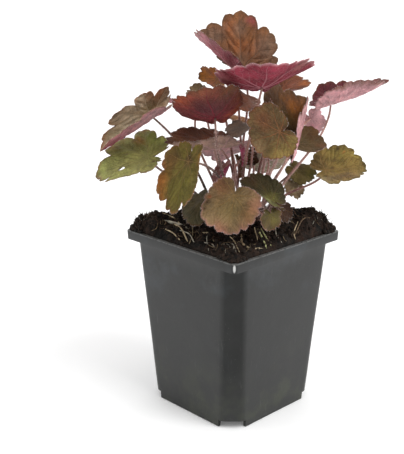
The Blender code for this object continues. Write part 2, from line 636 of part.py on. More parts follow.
def main():
    clear_scene()
    parts = new_collection("heuchera_in_pot", bpy.context.scene.collection, shown=True)
    cutters = new_collection("cutters", bpy.context.scene.collection, shown=False)
    holes = new_collection("petiole_holes", cutters, shown=False)
    grooves = new_collection("grooves", cutters, shown=False)
    build_pot(parts, cutters)
    paths = [petiole_path(leaf, foot) for leaf, foot in zip(LEAVES, plant_feet())]
    for leaf, path in zip(LEAVES, paths):
        build_hole(leaf, path, holes)
        build_leaf(leaf, path, parts)
    for name, radius, places in STALKS:
        build_stalk(name, radius, places, parts, grooves)
    build_crown(parts, cutters, holes)
    build_soil(parts, cutters, holes, grooves)


if __name__ == "__main__":
    main()
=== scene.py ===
# %% [markdown]
# # A heuchera in a square nursery pot
# A young heuchera, or coral bells: thirty-four lobed leaves on thin hairy stalks rise from a short woody crown,
# which is rooted in dark peat in a tapered square plastic pot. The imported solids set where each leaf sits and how
# it bends. This script keeps those places and forms, and gives each piece the finer surface of the real one.
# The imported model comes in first, because every piece here is made in its frame and rides on it.

import itertools
import math

import bmesh
import bpy
import numpy as np
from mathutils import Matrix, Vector


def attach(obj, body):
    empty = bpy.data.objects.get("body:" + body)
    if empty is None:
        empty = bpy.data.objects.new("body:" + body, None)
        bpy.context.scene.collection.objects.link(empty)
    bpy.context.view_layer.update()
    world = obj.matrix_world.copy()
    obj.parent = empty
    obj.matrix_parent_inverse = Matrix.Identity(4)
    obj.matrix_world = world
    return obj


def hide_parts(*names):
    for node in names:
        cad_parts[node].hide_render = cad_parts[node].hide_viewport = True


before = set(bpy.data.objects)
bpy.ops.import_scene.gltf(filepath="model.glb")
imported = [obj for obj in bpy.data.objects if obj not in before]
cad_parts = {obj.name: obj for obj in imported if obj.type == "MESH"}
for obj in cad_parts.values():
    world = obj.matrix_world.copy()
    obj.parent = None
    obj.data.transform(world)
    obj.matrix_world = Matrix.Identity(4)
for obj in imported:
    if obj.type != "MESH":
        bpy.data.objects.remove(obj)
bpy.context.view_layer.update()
MM = 0.001

# %% [markdown]
# ## Camera and light
# The photograph looks down a little at one corner of the pot, with a long lens and no tilt. A camera fitted to the
# corners of the pot's rim and base gives the numbers below. The picture is 404 by 454 pixels, so the longer side
# takes the whole width of the sensor.

# %% The camera
IMAGE = (404, 454)
FOCAL_PIXELS = 899.25
SENSOR = 36.0
CAMERA_PLACE = Vector((0.3532, -0.3658, 0.2618))
CAMERA_LOOK = Vector((-0.6889, 0.6643, -0.2900))

camera_data = bpy.data.cameras.new("camera")
camera_data.sensor_width = SENSOR
camera_data.lens = SENSOR * FOCAL_PIXELS / max(IMAGE)
camera_data.clip_start = 0.01
camera_data.clip_end = 60.0
camera = bpy.data.objects.new("camera", camera_data)
camera.location = CAMERA_PLACE
camera.rotation_euler = CAMERA_LOOK.to_track_quat("-Z", "Y").to_euler()
bpy.context.scene.collection.objects.link(camera)
bpy.context.scene.camera = camera
print("lens", round(camera_data.lens, 2), "mm")

# %% [markdown]
# The picture is taken in a white sweep with soft boxes at both sides and above, and a darker room behind the
# camera. A world that is bright all round except towards the camera gives the same: the pot's two sides stay
# lighter than its cut corner, which faces the camera. A wide, weak sun from the upper right adds the faint shadow
# that falls to the left.

# %% World and sun
WORLD_BRIGHT = 1.06
WORLD_DIM = 0.10
DIM_CONE = (0.52, 0.93)
SUN_FROM = Vector((0.62, 0.10, 0.78))
SUN_STRENGTH = 1.3
SUN_WIDTH = 30.0

view = bpy.context.scene.view_settings
view.view_transform = "Standard"
view.look = "None"

world = bpy.data.worlds.new("soft_room")
bpy.context.scene.world = world
world.use_nodes = True
room = world.node_tree
place = room.nodes.new("ShaderNodeTexCoord")
toward = room.nodes.new("ShaderNodeVectorMath")
toward.operation = "DOT_PRODUCT"
toward.inputs[1].default_value = (-CAMERA_LOOK.x, -CAMERA_LOOK.y, 0.0)
dim = room.nodes.new("ShaderNodeMapRange")
dim.interpolation_type = "SMOOTHSTEP"
for socket, value in zip(dim.inputs[1:5], (*DIM_CONE, WORLD_BRIGHT, WORLD_DIM)):
    socket.default_value = value
room.links.new(place.outputs["Generated"], toward.inputs[0])
room.links.new(toward.outputs["Value"], dim.inputs[0])
room.links.new(dim.outputs[0], room.nodes["Background"].inputs["Strength"])
room.nodes["Background"].inputs["Color"].default_value = (1.0, 1.0, 1.0, 1.0)

sun_data = bpy.data.lights.new("wide_sun", "SUN")
sun_data.energy = SUN_STRENGTH
sun_data.angle = math.radians(SUN_WIDTH)
sun = bpy.data.objects.new("wide_sun", sun_data)
sun.rotation_euler = (-SUN_FROM).to_track_quat("-Z", "Y").to_euler()
bpy.context.scene.collection.objects.link(sun)
print("sun", SUN_STRENGTH, "world", WORLD_DIM, "to", WORLD_BRIGHT)

# %% [markdown]
# The pot's cut corner looks straight at the camera, and in the photograph it mirrors something darker than the
# white sweep. A mid-grey card lies on the floor there. Only glossy rays see it, so it darkens that mirror image
# and nothing else: it casts no shadow and never shows itself. It is staging, and no part of the plant.

# %% Grey card
CARD_NEAR = 0.075
CARD_FAR = 0.62
CARD_SPREAD = 0.42
CARD_LIFT = 0.0005
CARD_GREY = (0.66, 0.66, 0.66, 1.0)

ahead = Vector((-CAMERA_LOOK.x, -CAMERA_LOOK.y, 0.0)).normalized()
aside = Vector((-ahead.y, ahead.x, 0.0))
card_mesh = bpy.data.meshes.new("dark_card")
card_mesh.from_pydata([ahead * along + aside * along * CARD_SPREAD * turn + Vector((0.0, 0.0, CARD_LIFT))
                       for along, turn in ((CARD_NEAR, -1), (CARD_FAR, -1), (CARD_FAR, 1), (CARD_NEAR, 1))],
                      [], [(0, 1, 2, 3)])
card_felt = bpy.data.materials.new("card_felt")
card_felt.use_nodes = True
felt = card_felt.node_tree.nodes["Principled BSDF"].inputs
felt["Base Color"].default_value = CARD_GREY
felt["Roughness"].default_value = 1.0
card_mesh.materials.append(card_felt)
dark_card = bpy.data.objects.new("dark_card", card_mesh)
bpy.context.scene.collection.objects.link(dark_card)
for ray in ("camera", "diffuse", "shadow", "transmission"):
    setattr(dark_card, "visible_" + ray, False)
print("card from", CARD_NEAR, "to", CARD_FAR, "m in front of the pot")

# %% [markdown]
# ## Small tools for shader nodes
# Every material below is built from the same few moves: add a node, join or set a socket, do a sum, mix two
# colours. Short functions for these keep each material down to the lines that say what the surface looks like.


# %% Sums, mixes and ramps
def feed(tree, socket, value):
    """Joins the socket to another one, or sets it to a constant."""
    if isinstance(value, bpy.types.NodeSocket):
        tree.links.new(value, socket)
    else:
        socket.default_value = value


def calc(tree, operation, *values, clamp=False):
    made = tree.nodes.new("ShaderNodeMath")
    made.operation = operation
    made.use_clamp = clamp
    for socket, value in zip(made.inputs, values):
        feed(tree, socket, value)
    return made.outputs[0]


def times(tree, one, two):
    return calc(tree, "MULTIPLY", one, two)


def plus(tree, one, two, clamp=False):
    return calc(tree, "ADD", one, two, clamp=clamp)


def mixed(tree, share, one, two):
    made = tree.nodes.new("ShaderNodeMix")
    made.data_type = "RGBA"
    for socket, value in zip((made.inputs[0], made.inputs[6], made.inputs[7]), (share, one, two)):
        feed(tree, socket, value)
    return made.outputs[2]


def ramp(tree, value, low, high, out_low=0.0, out_high=1.0):
    """A smooth step of value from low to high."""
    made = tree.nodes.new("ShaderNodeMapRange")
    made.interpolation_type = "SMOOTHSTEP"
    for socket, number in zip(made.inputs[:5], (value, low, high, out_low, out_high)):
        feed(tree, socket, number)
    return made.outputs[0]


print("helpers:", ", ".join(helper.__name__ for helper in (feed, calc, times, plus, mixed, ramp)))

# %% [markdown]
# A texture needs to be told where it is. Here that is the object's own space, or a flat map that a leaf carries on
# its points, so a pattern stays on its piece. Squashing that place along one axis turns grain into fibres.


# %% Textures, places and bumps
def noise(tree, vector, scale, detail=3.0, roughness=0.55):
    made = tree.nodes.new("ShaderNodeTexNoise")
    feed(tree, made.inputs["Vector"], vector)
    feed(tree, made.inputs["Scale"], scale)
    made.inputs["Detail"].default_value = detail
    made.inputs["Roughness"].default_value = roughness
    return made.outputs["Fac"]


def cells(tree, vector, scale, feature="F1"):
    made = tree.nodes.new("ShaderNodeTexVoronoi")
    made.feature = feature
    feed(tree, made.inputs["Vector"], vector)
    feed(tree, made.inputs["Scale"], scale)
    return made


def stretched(tree, vector, scale):
    made = tree.nodes.new("ShaderNodeVectorMath")
    made.operation = "MULTIPLY"
    feed(tree, made.inputs[0], vector)
    made.inputs[1].default_value = scale
    return made.outputs[0]


def object_place(tree):
    return tree.nodes.new("ShaderNodeTexCoord").outputs["Object"]


def attribute(tree, name, output):
    made = tree.nodes.new("ShaderNodeAttribute")
    made.attribute_name = name
    return made.outputs[output]


def bump(tree, height, distance, strength=1.0):
    made = tree.nodes.new("ShaderNodeBump")
    made.inputs["Distance"].default_value = distance
    made.inputs["Strength"].default_value = strength
    feed(tree, made.inputs["Height"], height)
    return made.outputs["Normal"]


print("helpers:", ", ".join(helper.__name__ for helper in (noise, cells, stretched, object_place, attribute, bump)))

# %% [markdown]
# An effect that several finishes share is a node group with named inputs and outputs. A material is then one
# Principled shader with groups and masks that feed its sockets.


# %% Groups and materials
def new_group(name, takes, gives):
    """A node group with these named inputs and outputs, and its two end nodes' sockets."""
    group = bpy.data.node_groups.new(name, "ShaderNodeTree")
    for label, kind, value in takes:
        socket = group.interface.new_socket(label, in_out="INPUT", socket_type=kind)
        if value is not None:
            socket.default_value = value
    for label, kind in gives:
        group.interface.new_socket(label, in_out="OUTPUT", socket_type=kind)
    return group, group.nodes.new("NodeGroupInput").outputs, group.nodes.new("NodeGroupOutput").inputs


def use(tree, group, **values):
    made = tree.nodes.new("ShaderNodeGroup")
    made.node_tree = group
    for label, value in values.items():
        feed(tree, made.inputs[label], value)
    return made.outputs


def new_material(name, roughness=0.5, specular=0.5):
    """A material whose Principled shader waits for its colour, with constants set on its own sockets."""
    material = bpy.data.materials.new(name)
    material.use_nodes = True
    shader = material.node_tree.nodes["Principled BSDF"]
    shader.inputs["Roughness"].default_value = roughness
    shader.inputs["Specular IOR Level"].default_value = specular
    return material, material.node_tree, shader


print("helpers:", ", ".join(helper.__name__ for helper in (new_group, use, new_material)))

# %% [markdown]
# ## Effects that several finishes share
# **Mottle** makes any colour patchy: broad soft clouds, then fine grain. Leaves, stalks, peat and plastic all have
# it, each at its own scale and strength, so it is one group with those as inputs. It takes a colour and puts out a
# colour, so the export can read it.

# %% Mottle group
mottle, takes, gives = new_group("mottle", (
    ("Color", "NodeSocketColor", (0.5, 0.5, 0.5, 1.0)), ("Vector", "NodeSocketVector", None),
    ("Scale", "NodeSocketFloat", 1.0), ("Strength", "NodeSocketFloat", 0.3), ("Grain", "NodeSocketFloat", 0.15)),
    (("Color", "NodeSocketColor"), ("Cloud", "NodeSocketFloat")))
cloud = noise(mottle, takes["Vector"], takes["Scale"], 4.0, 0.6)
grain = noise(mottle, takes["Vector"], times(mottle, takes["Scale"], 7.0), 2.0, 0.6)
swing = times(mottle, calc(mottle, "SUBTRACT", ramp(mottle, cloud, 0.3, 0.7), 0.5), takes["Strength"])
fine = times(mottle, calc(mottle, "SUBTRACT", grain, 0.5), takes["Grain"])
level = plus(mottle, plus(mottle, swing, fine), 1.0)
scaled = mottle.nodes.new("ShaderNodeVectorMath")
scaled.operation = "SCALE"
feed(mottle, scaled.inputs[0], takes["Color"])
feed(mottle, scaled.inputs["Scale"], level)
feed(mottle, gives["Color"], scaled.outputs[0])
feed(mottle, gives["Cloud"], cloud)


def tinted(tree, scale, strength, grain):
    """The points' own colour, mottled by its place on the object."""
    return use(tree, mottle, Color=attribute(tree, "tint", "Color"), Vector=object_place(tree), Scale=scale,
               Strength=strength, Grain=grain)["Color"]


print("group", mottle.name)

# %% [markdown]
# **Leaf veins** follow the real pattern. One main vein runs from the stalk down each lobe, side veins leave it at
# about forty degrees towards the teeth, and a fine net fills the fields between. The group works on a flat map of
# the leaf in millimetres, so the same sums also raise the puckers in the mesh. It puts out one mask for each kind
# of vein, because the upper face shows them sunk and the lower face shows them raised.

# %% Vein numbers and group
LOBE_STEP = math.radians(47.0)
SIDE_VEIN_SPACING = 0.17
SIDE_VEIN_LEAN = 1.2
SIDE_VEIN_NARROWING = 0.64

veins, takes, gives = new_group("leaf_veins", (
    ("Plane", "NodeSocketVector", None), ("Reach", "NodeSocketFloat", 30.0), ("Width", "NodeSocketFloat", 0.5)),
    (("Main", "NodeSocketFloat"), ("Side", "NodeSocketFloat"), ("Net", "NodeSocketFloat"),
     ("Relief", "NodeSocketFloat")))
split = veins.nodes.new("ShaderNodeSeparateXYZ")
feed(veins, split.inputs[0], takes["Plane"])
x, y = split.outputs[0], split.outputs[1]
turn = calc(veins, "ARCTAN2", y, x)
lobe = calc(veins, "ROUND", calc(veins, "DIVIDE", turn, LOBE_STEP))
lobe = calc(veins, "MINIMUM", calc(veins, "MAXIMUM", lobe, -3.0), 3.0)
off = calc(veins, "SUBTRACT", turn, times(veins, lobe, LOBE_STEP))
out = calc(veins, "SQRT", plus(veins, times(veins, x, x), times(veins, y, y)))
aside = calc(veins, "ABSOLUTE", times(veins, out, calc(veins, "SINE", off)))
along = times(veins, out, calc(veins, "COSINE", off))
taper = ramp(veins, calc(veins, "DIVIDE", out, takes["Reach"]), 0.0, 1.0, 1.0, 0.35)
main = ramp(veins, calc(veins, "DIVIDE", aside, times(veins, takes["Width"], taper)), 0.25, 1.0, 1.0, 0.0)
spacing = times(veins, takes["Reach"], SIDE_VEIN_SPACING)
phase = calc(veins, "DIVIDE", calc(veins, "SUBTRACT", along, times(veins, aside, SIDE_VEIN_LEAN)), spacing)
phase = plus(veins, phase, times(veins, calc(veins, "SIGN", off), 0.25))
nearest = calc(veins, "ABSOLUTE", calc(veins, "SUBTRACT", calc(veins, "FRACT", plus(veins, phase, 0.5)), 0.5))
apart = times(veins, times(veins, nearest, spacing), SIDE_VEIN_NARROWING)
side = ramp(veins, calc(veins, "DIVIDE", apart, times(veins, takes["Width"], taper)), 0.1, 0.8, 1.0, 0.0)
net = ramp(veins, cells(veins, takes["Plane"], 0.62, "DISTANCE_TO_EDGE").outputs["Distance"], 0.0, 0.12, 1.0, 0.0)
relief = calc(veins, "MAXIMUM", times(veins, side, 0.7), times(veins, net, 0.4))
for label, mask in (("Main", main), ("Side", side), ("Net", net), ("Relief", calc(veins, "MAXIMUM", main, relief))):
    feed(veins, gives[label], mask)
print("group", veins.name)


# %% [markdown]
# ## Finishes
# The two faces of a heuchera leaf differ. The upper face is satin, with sunk veins and a net of tiny domes. The
# lower face is paler or wine red, duller, with raised ribs and short hairs. Each leaf's own colours are laid on its
# points, in soft patches, as on the real plant, where one leaf goes from olive to rust. The materials read those
# colours and add what is too fine for the mesh.


# %% Leaf finishes
SPECK_PALE = (0.75, 0.6, 0.5, 1.0)
VEIN_WIDTH = 0.42
SIDE_SHARE = 0.55
NET_SHARE = 0.3
LEAF_RELIEF = 0.0006


def leaf_finish(name, sunk, vein_share, speck_share, roughness):
    """A leaf face: its point colours, mottled, under veins in the rib colour and fine pale specks."""
    material, tree, shader = new_material(name, roughness, 0.2)
    plane = attribute(tree, "leaf_plane", "Vector")
    tint = attribute(tree, "tint", "Color")
    rib = attribute(tree, "rib", "Color")
    pattern = use(tree, veins, Plane=plane, Reach=attribute(tree, "reach", "Fac"), Width=VEIN_WIDTH)
    clouds = use(tree, mottle, Color=tint, Vector=plane, Scale=0.16, Strength=0.62, Grain=1.0)
    strength = plus(tree, times(tree, pattern["Main"], vein_share),
                    times(tree, pattern["Side"], vein_share * SIDE_SHARE))
    strength = plus(tree, strength, times(tree, pattern["Net"], vein_share * NET_SHARE), clamp=True)
    colour = mixed(tree, strength, clouds["Color"], rib)
    dots = cells(tree, plane, 2.6).outputs["Distance"]
    speck = ramp(tree, dots, 0.1, 0.3, speck_share, 0.0)
    colour = mixed(tree, speck, colour, mixed(tree, 0.5, rib, SPECK_PALE))
    feed(tree, shader.inputs["Base Color"], colour)
    feed(tree, shader.inputs["Roughness"], ramp(tree, clouds["Cloud"], 0.3, 0.7, roughness - 0.08, roughness + 0.1))
    grain = noise(tree, plane, 2.2, 3.0)
    height = plus(tree, times(tree, pattern["Relief"], -1.0 if sunk else 1.0), times(tree, grain, 0.9))
    feed(tree, shader.inputs["Normal"], bump(tree, height, LEAF_RELIEF, 1.0))
    return material


leaf_upper = leaf_finish("leaf_upper_face", True, 0.58, 0.34, 0.5)
leaf_under = leaf_finish("leaf_lower_face", False, 0.65, 0.46, 0.62)
print("leaf finishes", leaf_upper.name, leaf_under.name)

# %% [markdown]
# Leaf stalks are ribbed lengthways, red-brown to pink, and furred with white hairs. Their colour also comes from
# the points, darker at the foot. The hairs are glassy threads, so theirs is a pale finish that varies a little from
# one to the next.

# %% Stalk and hair finishes
stalk_skin, tree, shader = new_material("leaf_stalk_skin", 0.5, 0.35)
feed(tree, shader.inputs["Base Color"], tinted(tree, 260.0, 0.5, 0.5))
grooves = noise(tree, stretched(tree, object_place(tree), (1.0, 1.0, 0.08)), 2600.0, 2.0)
feed(tree, shader.inputs["Normal"], bump(tree, grooves, 0.00012, 0.7))

hair_skin, tree, shader = new_material("leaf_hair", 0.45, 0.4)
feed(tree, shader.inputs["Base Color"], tinted(tree, 400.0, 0.3, 0.2))
print("stalk and hair finishes", stalk_skin.name, hair_skin.name)

# %% [markdown]
# ## Meshes from arrays
# A leaf has thousands of faces that follow a formula, so the meshes are made from arrays of points, in
# millimetres, and not edited by hand. One small class gathers the shells of a piece, each with its material and
# its colours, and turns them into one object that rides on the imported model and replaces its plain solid.

# %% A gatherer of shells
WHITE = (1.0, 1.0, 1.0)


class Shells:
    """The closed shells of one piece, in millimetres, before they become a mesh."""

    def __init__(self):
        self.points, self.faces, self.slots = [], [], []
        self.values = {"tint": [], "rib": [], "leaf_plane": [], "reach": []}
        self.count = 0

    def add(self, points, faces, slot=0, tint=WHITE, rib=WHITE, plane=(0.0, 0.0, 0.0), reach=1.0):
        points = np.asarray(points, float).reshape(-1, 3)
        for block in faces:
            block = np.asarray(block) + self.count
            self.faces += block.tolist()
            self.slots.append(np.full(len(block), slot))
        self.points.append(points)
        for key, value, width in (("tint", tint, 3), ("rib", rib, 3), ("leaf_plane", plane, 3), ("reach", reach, 1)):
            value = np.asarray(value, float).reshape(-1, width)
            self.values[key].append(np.broadcast_to(value, (len(points), width)))
        self.count += len(points)

    def make(self, name, materials, replaced=(), smooth=True):
        """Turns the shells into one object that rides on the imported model."""
        mesh = bpy.data.meshes.new(name)
        mesh.from_pydata((np.concatenate(self.points) * MM).tolist(), [], self.faces)
        mesh.polygons.foreach_set("material_index", np.concatenate(self.slots).astype(np.int32))
        for key in ("tint", "rib"):
            layer = mesh.attributes.new(key, "FLOAT_COLOR", "POINT")
            colours = np.concatenate(self.values[key])
            layer.data.foreach_set("color", np.c_[colours, np.ones(len(colours))].astype(np.float32).ravel())
        layer = mesh.attributes.new("leaf_plane", "FLOAT_VECTOR", "POINT")
        layer.data.foreach_set("vector", np.concatenate(self.values["leaf_plane"]).astype(np.float32).ravel())
        layer = mesh.attributes.new("reach", "FLOAT", "POINT")
        layer.data.foreach_set("value", np.concatenate(self.values["reach"]).astype(np.float32).ravel())
        bm = bmesh.new()
        bm.from_mesh(mesh)
        bmesh.ops.recalc_face_normals(bm, faces=bm.faces)
        bm.to_mesh(mesh)
        bm.free()
        if smooth:
            mesh.shade_smooth()
        for material in materials:
            mesh.materials.append(material)
        piece = bpy.data.objects.new(name, mesh)
        bpy.context.scene.collection.objects.link(piece)
        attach(piece, "root")
        for node in replaced:
            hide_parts(node)
        return piece


print("each point carries", list(Shells().values))

# %% [markdown]
# Natural surfaces need the same lumps on every run. A lattice of fixed pseudo-random values, blended smoothly
# between its points, gives them without any random state.


# %% Lumps
def lumps(points, size, seed=0):
    """Smooth noise from -1 to 1 over points of shape (..., 3), with one lump per size."""
    points = np.asarray(points, float) / size
    cell = np.floor(points).astype(np.int64)
    part = points - cell
    part = part * part * (3.0 - 2.0 * part)
    total = 0.0
    for corner in itertools.product((0, 1), repeat=3):
        at = cell + np.array(corner)
        mix = (at[..., 0] * 73856093) ^ (at[..., 1] * 19349663) ^ (at[..., 2] * 83492791) ^ (seed * 2654435761)
        mix = ((mix ^ (mix >> 13)) & 0xFFFFFF) * 1274126177 & 0xFFFFFFFF
        value = ((mix >> 7) & 0xFFFF) / 32767.5 - 1.0
        share = np.prod(np.where(corner, part, 1.0 - part), axis=-1)
        total = total + value * share
    return total


print("lump check", round(float(lumps(np.array([[1.3, 2.7, 0.4]]), 1.0)[0]), 4))

# %% [markdown]
# Stalks, straws, ribs and fibres are tubes along a path, with a radius for each point of it. Blender's curve
# objects could make them too, but a tube in arrays can go into the same mesh as the blade that it carries.


# %% Tubes, hairs and paths
def unit(vectors):
    vectors = np.asarray(vectors, float)
    return vectors / np.maximum(np.linalg.norm(vectors, axis=-1, keepdims=True), 1e-9)


def ring_grid(rows, columns):
    """Quads between rows of points that each close on themselves."""
    here = np.arange(columns)
    there = (here + 1) % columns
    start = (np.arange(rows - 1) * columns)[:, None]
    return np.stack([start + here, start + there, start + columns + there, start + columns + here],
                    axis=-1).reshape(-1, 4)


def tube(path, radii, sides=8):
    """Points, faces and ring directions of a closed tube."""
    path = np.asarray(path, float)
    radii = np.broadcast_to(np.asarray(radii, float), len(path))
    tangents = unit(np.gradient(path, axis=0))
    across = np.cross(tangents[0], (0.3, 0.5, 0.8))
    rings = []
    for tangent in tangents:
        across = across - tangent * (across @ tangent)
        across = across / max(float(np.linalg.norm(across)), 1e-9)
        rings.append((across, np.cross(tangent, across)))
    rings = np.array(rings)
    turn = np.linspace(0.0, 2.0 * np.pi, sides, endpoint=False)
    out = rings[:, None, 0] * np.cos(turn)[None, :, None] + rings[:, None, 1] * np.sin(turn)[None, :, None]
    points = path[:, None] + out * radii[:, None, None]
    last = (len(path) - 1) * sides
    caps = np.array([np.arange(sides)[::-1], last + np.arange(sides)])
    return points.reshape(-1, 3), [ring_grid(len(path), sides), caps], out


def hairs(roots, directions, lengths, radius):
    """Thin three-sided spikes from the roots."""
    directions = unit(directions)
    one = unit(np.cross(directions, (0.21, 0.37, 0.9)))
    two = np.cross(directions, one)
    turns = np.radians((0.0, 120.0, 240.0))
    base = [roots + (one * np.cos(t) + two * np.sin(t)) * radius for t in turns]
    tips = roots + directions * np.asarray(lengths)[:, None]
    points = np.stack(base + [tips], axis=1).reshape(-1, 3)
    start = np.arange(len(roots))[:, None] * 4
    faces = [start + np.array(face) for face in ((0, 1, 3), (1, 2, 3), (2, 0, 3), (2, 1, 0))]
    return points, [np.concatenate(faces)]


def smooth_path(places, steps):
    """A rounded path through the places, by Catmull-Rom."""
    places = np.asarray(places, float)
    padded = np.vstack([2 * places[0] - places[1], places, 2 * places[-1] - places[-2]])
    path = []
    for k in range(len(places) - 1):
        a, b, c, d = padded[k:k + 4]
        for t in np.linspace(0.0, 1.0, steps, endpoint=k == len(places) - 2):
            path.append(0.5 * (2 * b + (c - a) * t + (2 * a - 5 * b + 4 * c - d) * t ** 2
                               + (3 * b - a - 3 * c + d) * t ** 3))
    return np.array(path)


print("a tube of 5 points has", len(tube(np.eye(5, 3), 1.0)[0]), "vertices")

# %% [markdown]
# ## The pot
# The pot is one thin moulding of grey polypropylene: four tapering walls whose corners are cut off flat, a band
# with nearly sharp corners round the rim, a floor with four drain holes, and a low skirt under it that is notched
# at each corner. It could be a block cut with Booleans, as in the solids. Here it is lofted: one outline with cut,
# rounded corners is drawn at many heights and joined, which gives the soft folds of a moulding and the small
# radius round the rim that catches the light.

# %% Pot outline
POT_HEIGHT = 106.0
RIM_HALF = 45.0
RIM_CUT = 1.8
RIM_BAND = 5.5
BODY_TOP_HALF = 43.6
BODY_BASE_HALF = 36.2
CORNER_CUT = 8.9
CORNER_SOFTNESS = 2.2
WALL = 1.2
INNER_CUT = CORNER_CUT - WALL * (2.0 - math.sqrt(2.0))
FLOOR_UNDERSIDE = 4.0
FLOOR_TOP = 5.5
SKIRT_WALL = 2.0
NOTCH_FROM = 24.9
CORNER_STEPS = 6
SIDE_COLUMNS = (-24.95, -24.85, -18.0, -12.0, -6.0, 0.0, 6.0, 12.0, 18.0, 24.85, 24.95)


def body_half(height):
    return BODY_BASE_HALF + (BODY_TOP_HALF - BODY_BASE_HALF) * height / POT_HEIGHT


def corner_curve(start, bend, end):
    return [(1 - t) ** 2 * start + 2 * t * (1 - t) * bend + t * t * end
            for t in np.linspace(0.0, 1.0, CORNER_STEPS)]


def outline(half, cut, softness):
    """A square outline with cut and slightly rounded corners, as x and y."""
    side = [np.array((half, y)) for y in SIDE_COLUMNS]
    one, two = np.array((half, half - cut)), np.array((half - cut, half))
    lean = (two - one) / max(float(np.linalg.norm(two - one)), 1e-9)
    softness = min(softness, cut * 0.6)
    corner = corner_curve(one - (0.0, softness), one, one + lean * softness)
    corner += corner_curve(two - lean * softness, two, two - (softness, 0.0))
    quarter = np.array(side + corner)
    quarters = []
    for turn in range(4):
        c, s = (1, 0, -1, 0)[turn], (0, 1, 0, -1)[turn]
        quarters.append(quarter @ np.array(((c, s), (-s, c))))
    return np.vstack(quarters)


def is_notched():
    """True at the outline's corner columns, where the foot skirt is cut away."""
    quarter = [abs(y) > NOTCH_FROM for y in SIDE_COLUMNS] + [True] * 2 * CORNER_STEPS
    return np.array(quarter * 4)


print("outline of", len(is_notched()), "points,", int(is_notched().sum()), "of them notched")

# %% [markdown]
# The outlines start under the floor, go down the inside of the foot, up the outside of the walls, over the rim and
# down the inside to the floor. Each is the same ring of points at another size and height, so neighbours join with
# quads. The long walls bow by a fraction of a millimetre, because thin mouldings never cool quite flat.

# %% The pot's loft
WALL_ROWS = 14
INNER_ROWS = 6
BOW = 0.22
BOW_LENGTH = 26.0
BOW_FROM = 8.0
BOW_TO = 98.0

foot = np.where(is_notched(), FLOOR_UNDERSIDE - 0.02, 0.0)
recess_half = BODY_BASE_HALF - SKIRT_WALL
sections = [(recess_half, CORNER_CUT, 1.6, FLOOR_UNDERSIDE), (recess_half, CORNER_CUT, 1.6, foot + 0.01),
            (BODY_BASE_HALF - 0.3, CORNER_CUT, CORNER_SOFTNESS, foot),
            (BODY_BASE_HALF, CORNER_CUT, CORNER_SOFTNESS, foot + 0.3)]
for height in np.linspace(FLOOR_UNDERSIDE + 0.6, POT_HEIGHT - RIM_BAND - 0.5, WALL_ROWS):
    sections.append((body_half(height), CORNER_CUT, CORNER_SOFTNESS, height))
band = POT_HEIGHT - RIM_BAND
sections += [(body_half(band) + 0.15, CORNER_CUT, CORNER_SOFTNESS, band - 0.12),
             (RIM_HALF - 0.7, RIM_CUT + 0.6, 0.8, band), (RIM_HALF - 0.3, RIM_CUT, 1.0, band + 0.1),
             (RIM_HALF - 0.2, RIM_CUT, 1.0, band + 0.4), (RIM_HALF - 0.1, RIM_CUT, 1.0, POT_HEIGHT - 2.5),
             (RIM_HALF, RIM_CUT, 1.0, POT_HEIGHT - 0.5), (RIM_HALF - 0.08, RIM_CUT, 1.0, POT_HEIGHT - 0.18),
             (RIM_HALF - 0.35, RIM_CUT, 1.0, POT_HEIGHT),
             (body_half(POT_HEIGHT) - WALL + 0.35, INNER_CUT, CORNER_SOFTNESS, POT_HEIGHT - 0.02),
             (body_half(POT_HEIGHT) - WALL, INNER_CUT, CORNER_SOFTNESS, POT_HEIGHT - 0.4)]
for height in np.linspace(POT_HEIGHT - 8.0, FLOOR_TOP, INNER_ROWS):
    sections.append((body_half(height) - WALL, INNER_CUT, CORNER_SOFTNESS, height))
columns = len(is_notched())
rows = []
for half, cut, softness, height in sections:
    flat = outline(half, cut, softness)
    rows.append(np.c_[flat, np.broadcast_to(height, columns)])
shell = np.vstack(rows)
walls = ring_grid(len(rows), columns)
bow = BOW * lumps(shell * (1, 1, 0.6), BOW_LENGTH, 5) * np.clip((shell[:, 2] - BOW_FROM) / 20.0, 0, 1)
bow = bow * np.clip((BOW_TO - shell[:, 2]) / 10.0, 0, 1)
shell[:, :2] += unit(shell[:, :2]) * bow[:, None]
last = (len(rows) - 1) * columns
caps = [np.arange(columns)[::-1][None], (last + np.arange(columns))[None]]
print("pot", len(rows), "outlines of", columns, "points")

# %% [markdown]
# The moulded plastic is satin and slightly uneven: faint cloudy patches, hair-fine upright scuffs, pale dust
# and a touch of green algae near the foot, where water splashes. A painted highlight lightens the top edge of the
# rim, broken up by the scuffs, and a painted glint shows white on its near corner. Each is a mask that mixes one
# more colour over the grey.

# %% Plastic finish
PLASTIC_GREY = (0.0135, 0.0142, 0.0136, 1.0)
ALGAE_GREEN = (0.045, 0.052, 0.028, 1.0)
SCUFF_GREY = (0.09, 0.09, 0.088, 1.0)
DUST_GREY = (0.30, 0.28, 0.24, 1.0)
CHALK_GREY = (0.045, 0.055, 0.064, 1.0)
# painted highlight: the colour that lightens the top edge of the rim
RIM_HIGHLIGHT_GREY = (0.16, 0.16, 0.155, 1.0)
# painted glint: a small white spot on the near corner of the rim, with where it sits and how it is squashed
GLINT_WHITE = (0.62, 0.62, 0.6, 1.0)
GLINT_PLACE = Vector((0.0443, -0.0443, 0.1033))
GLINT_SQUASH = Vector((1.0, 1.0, 0.35))

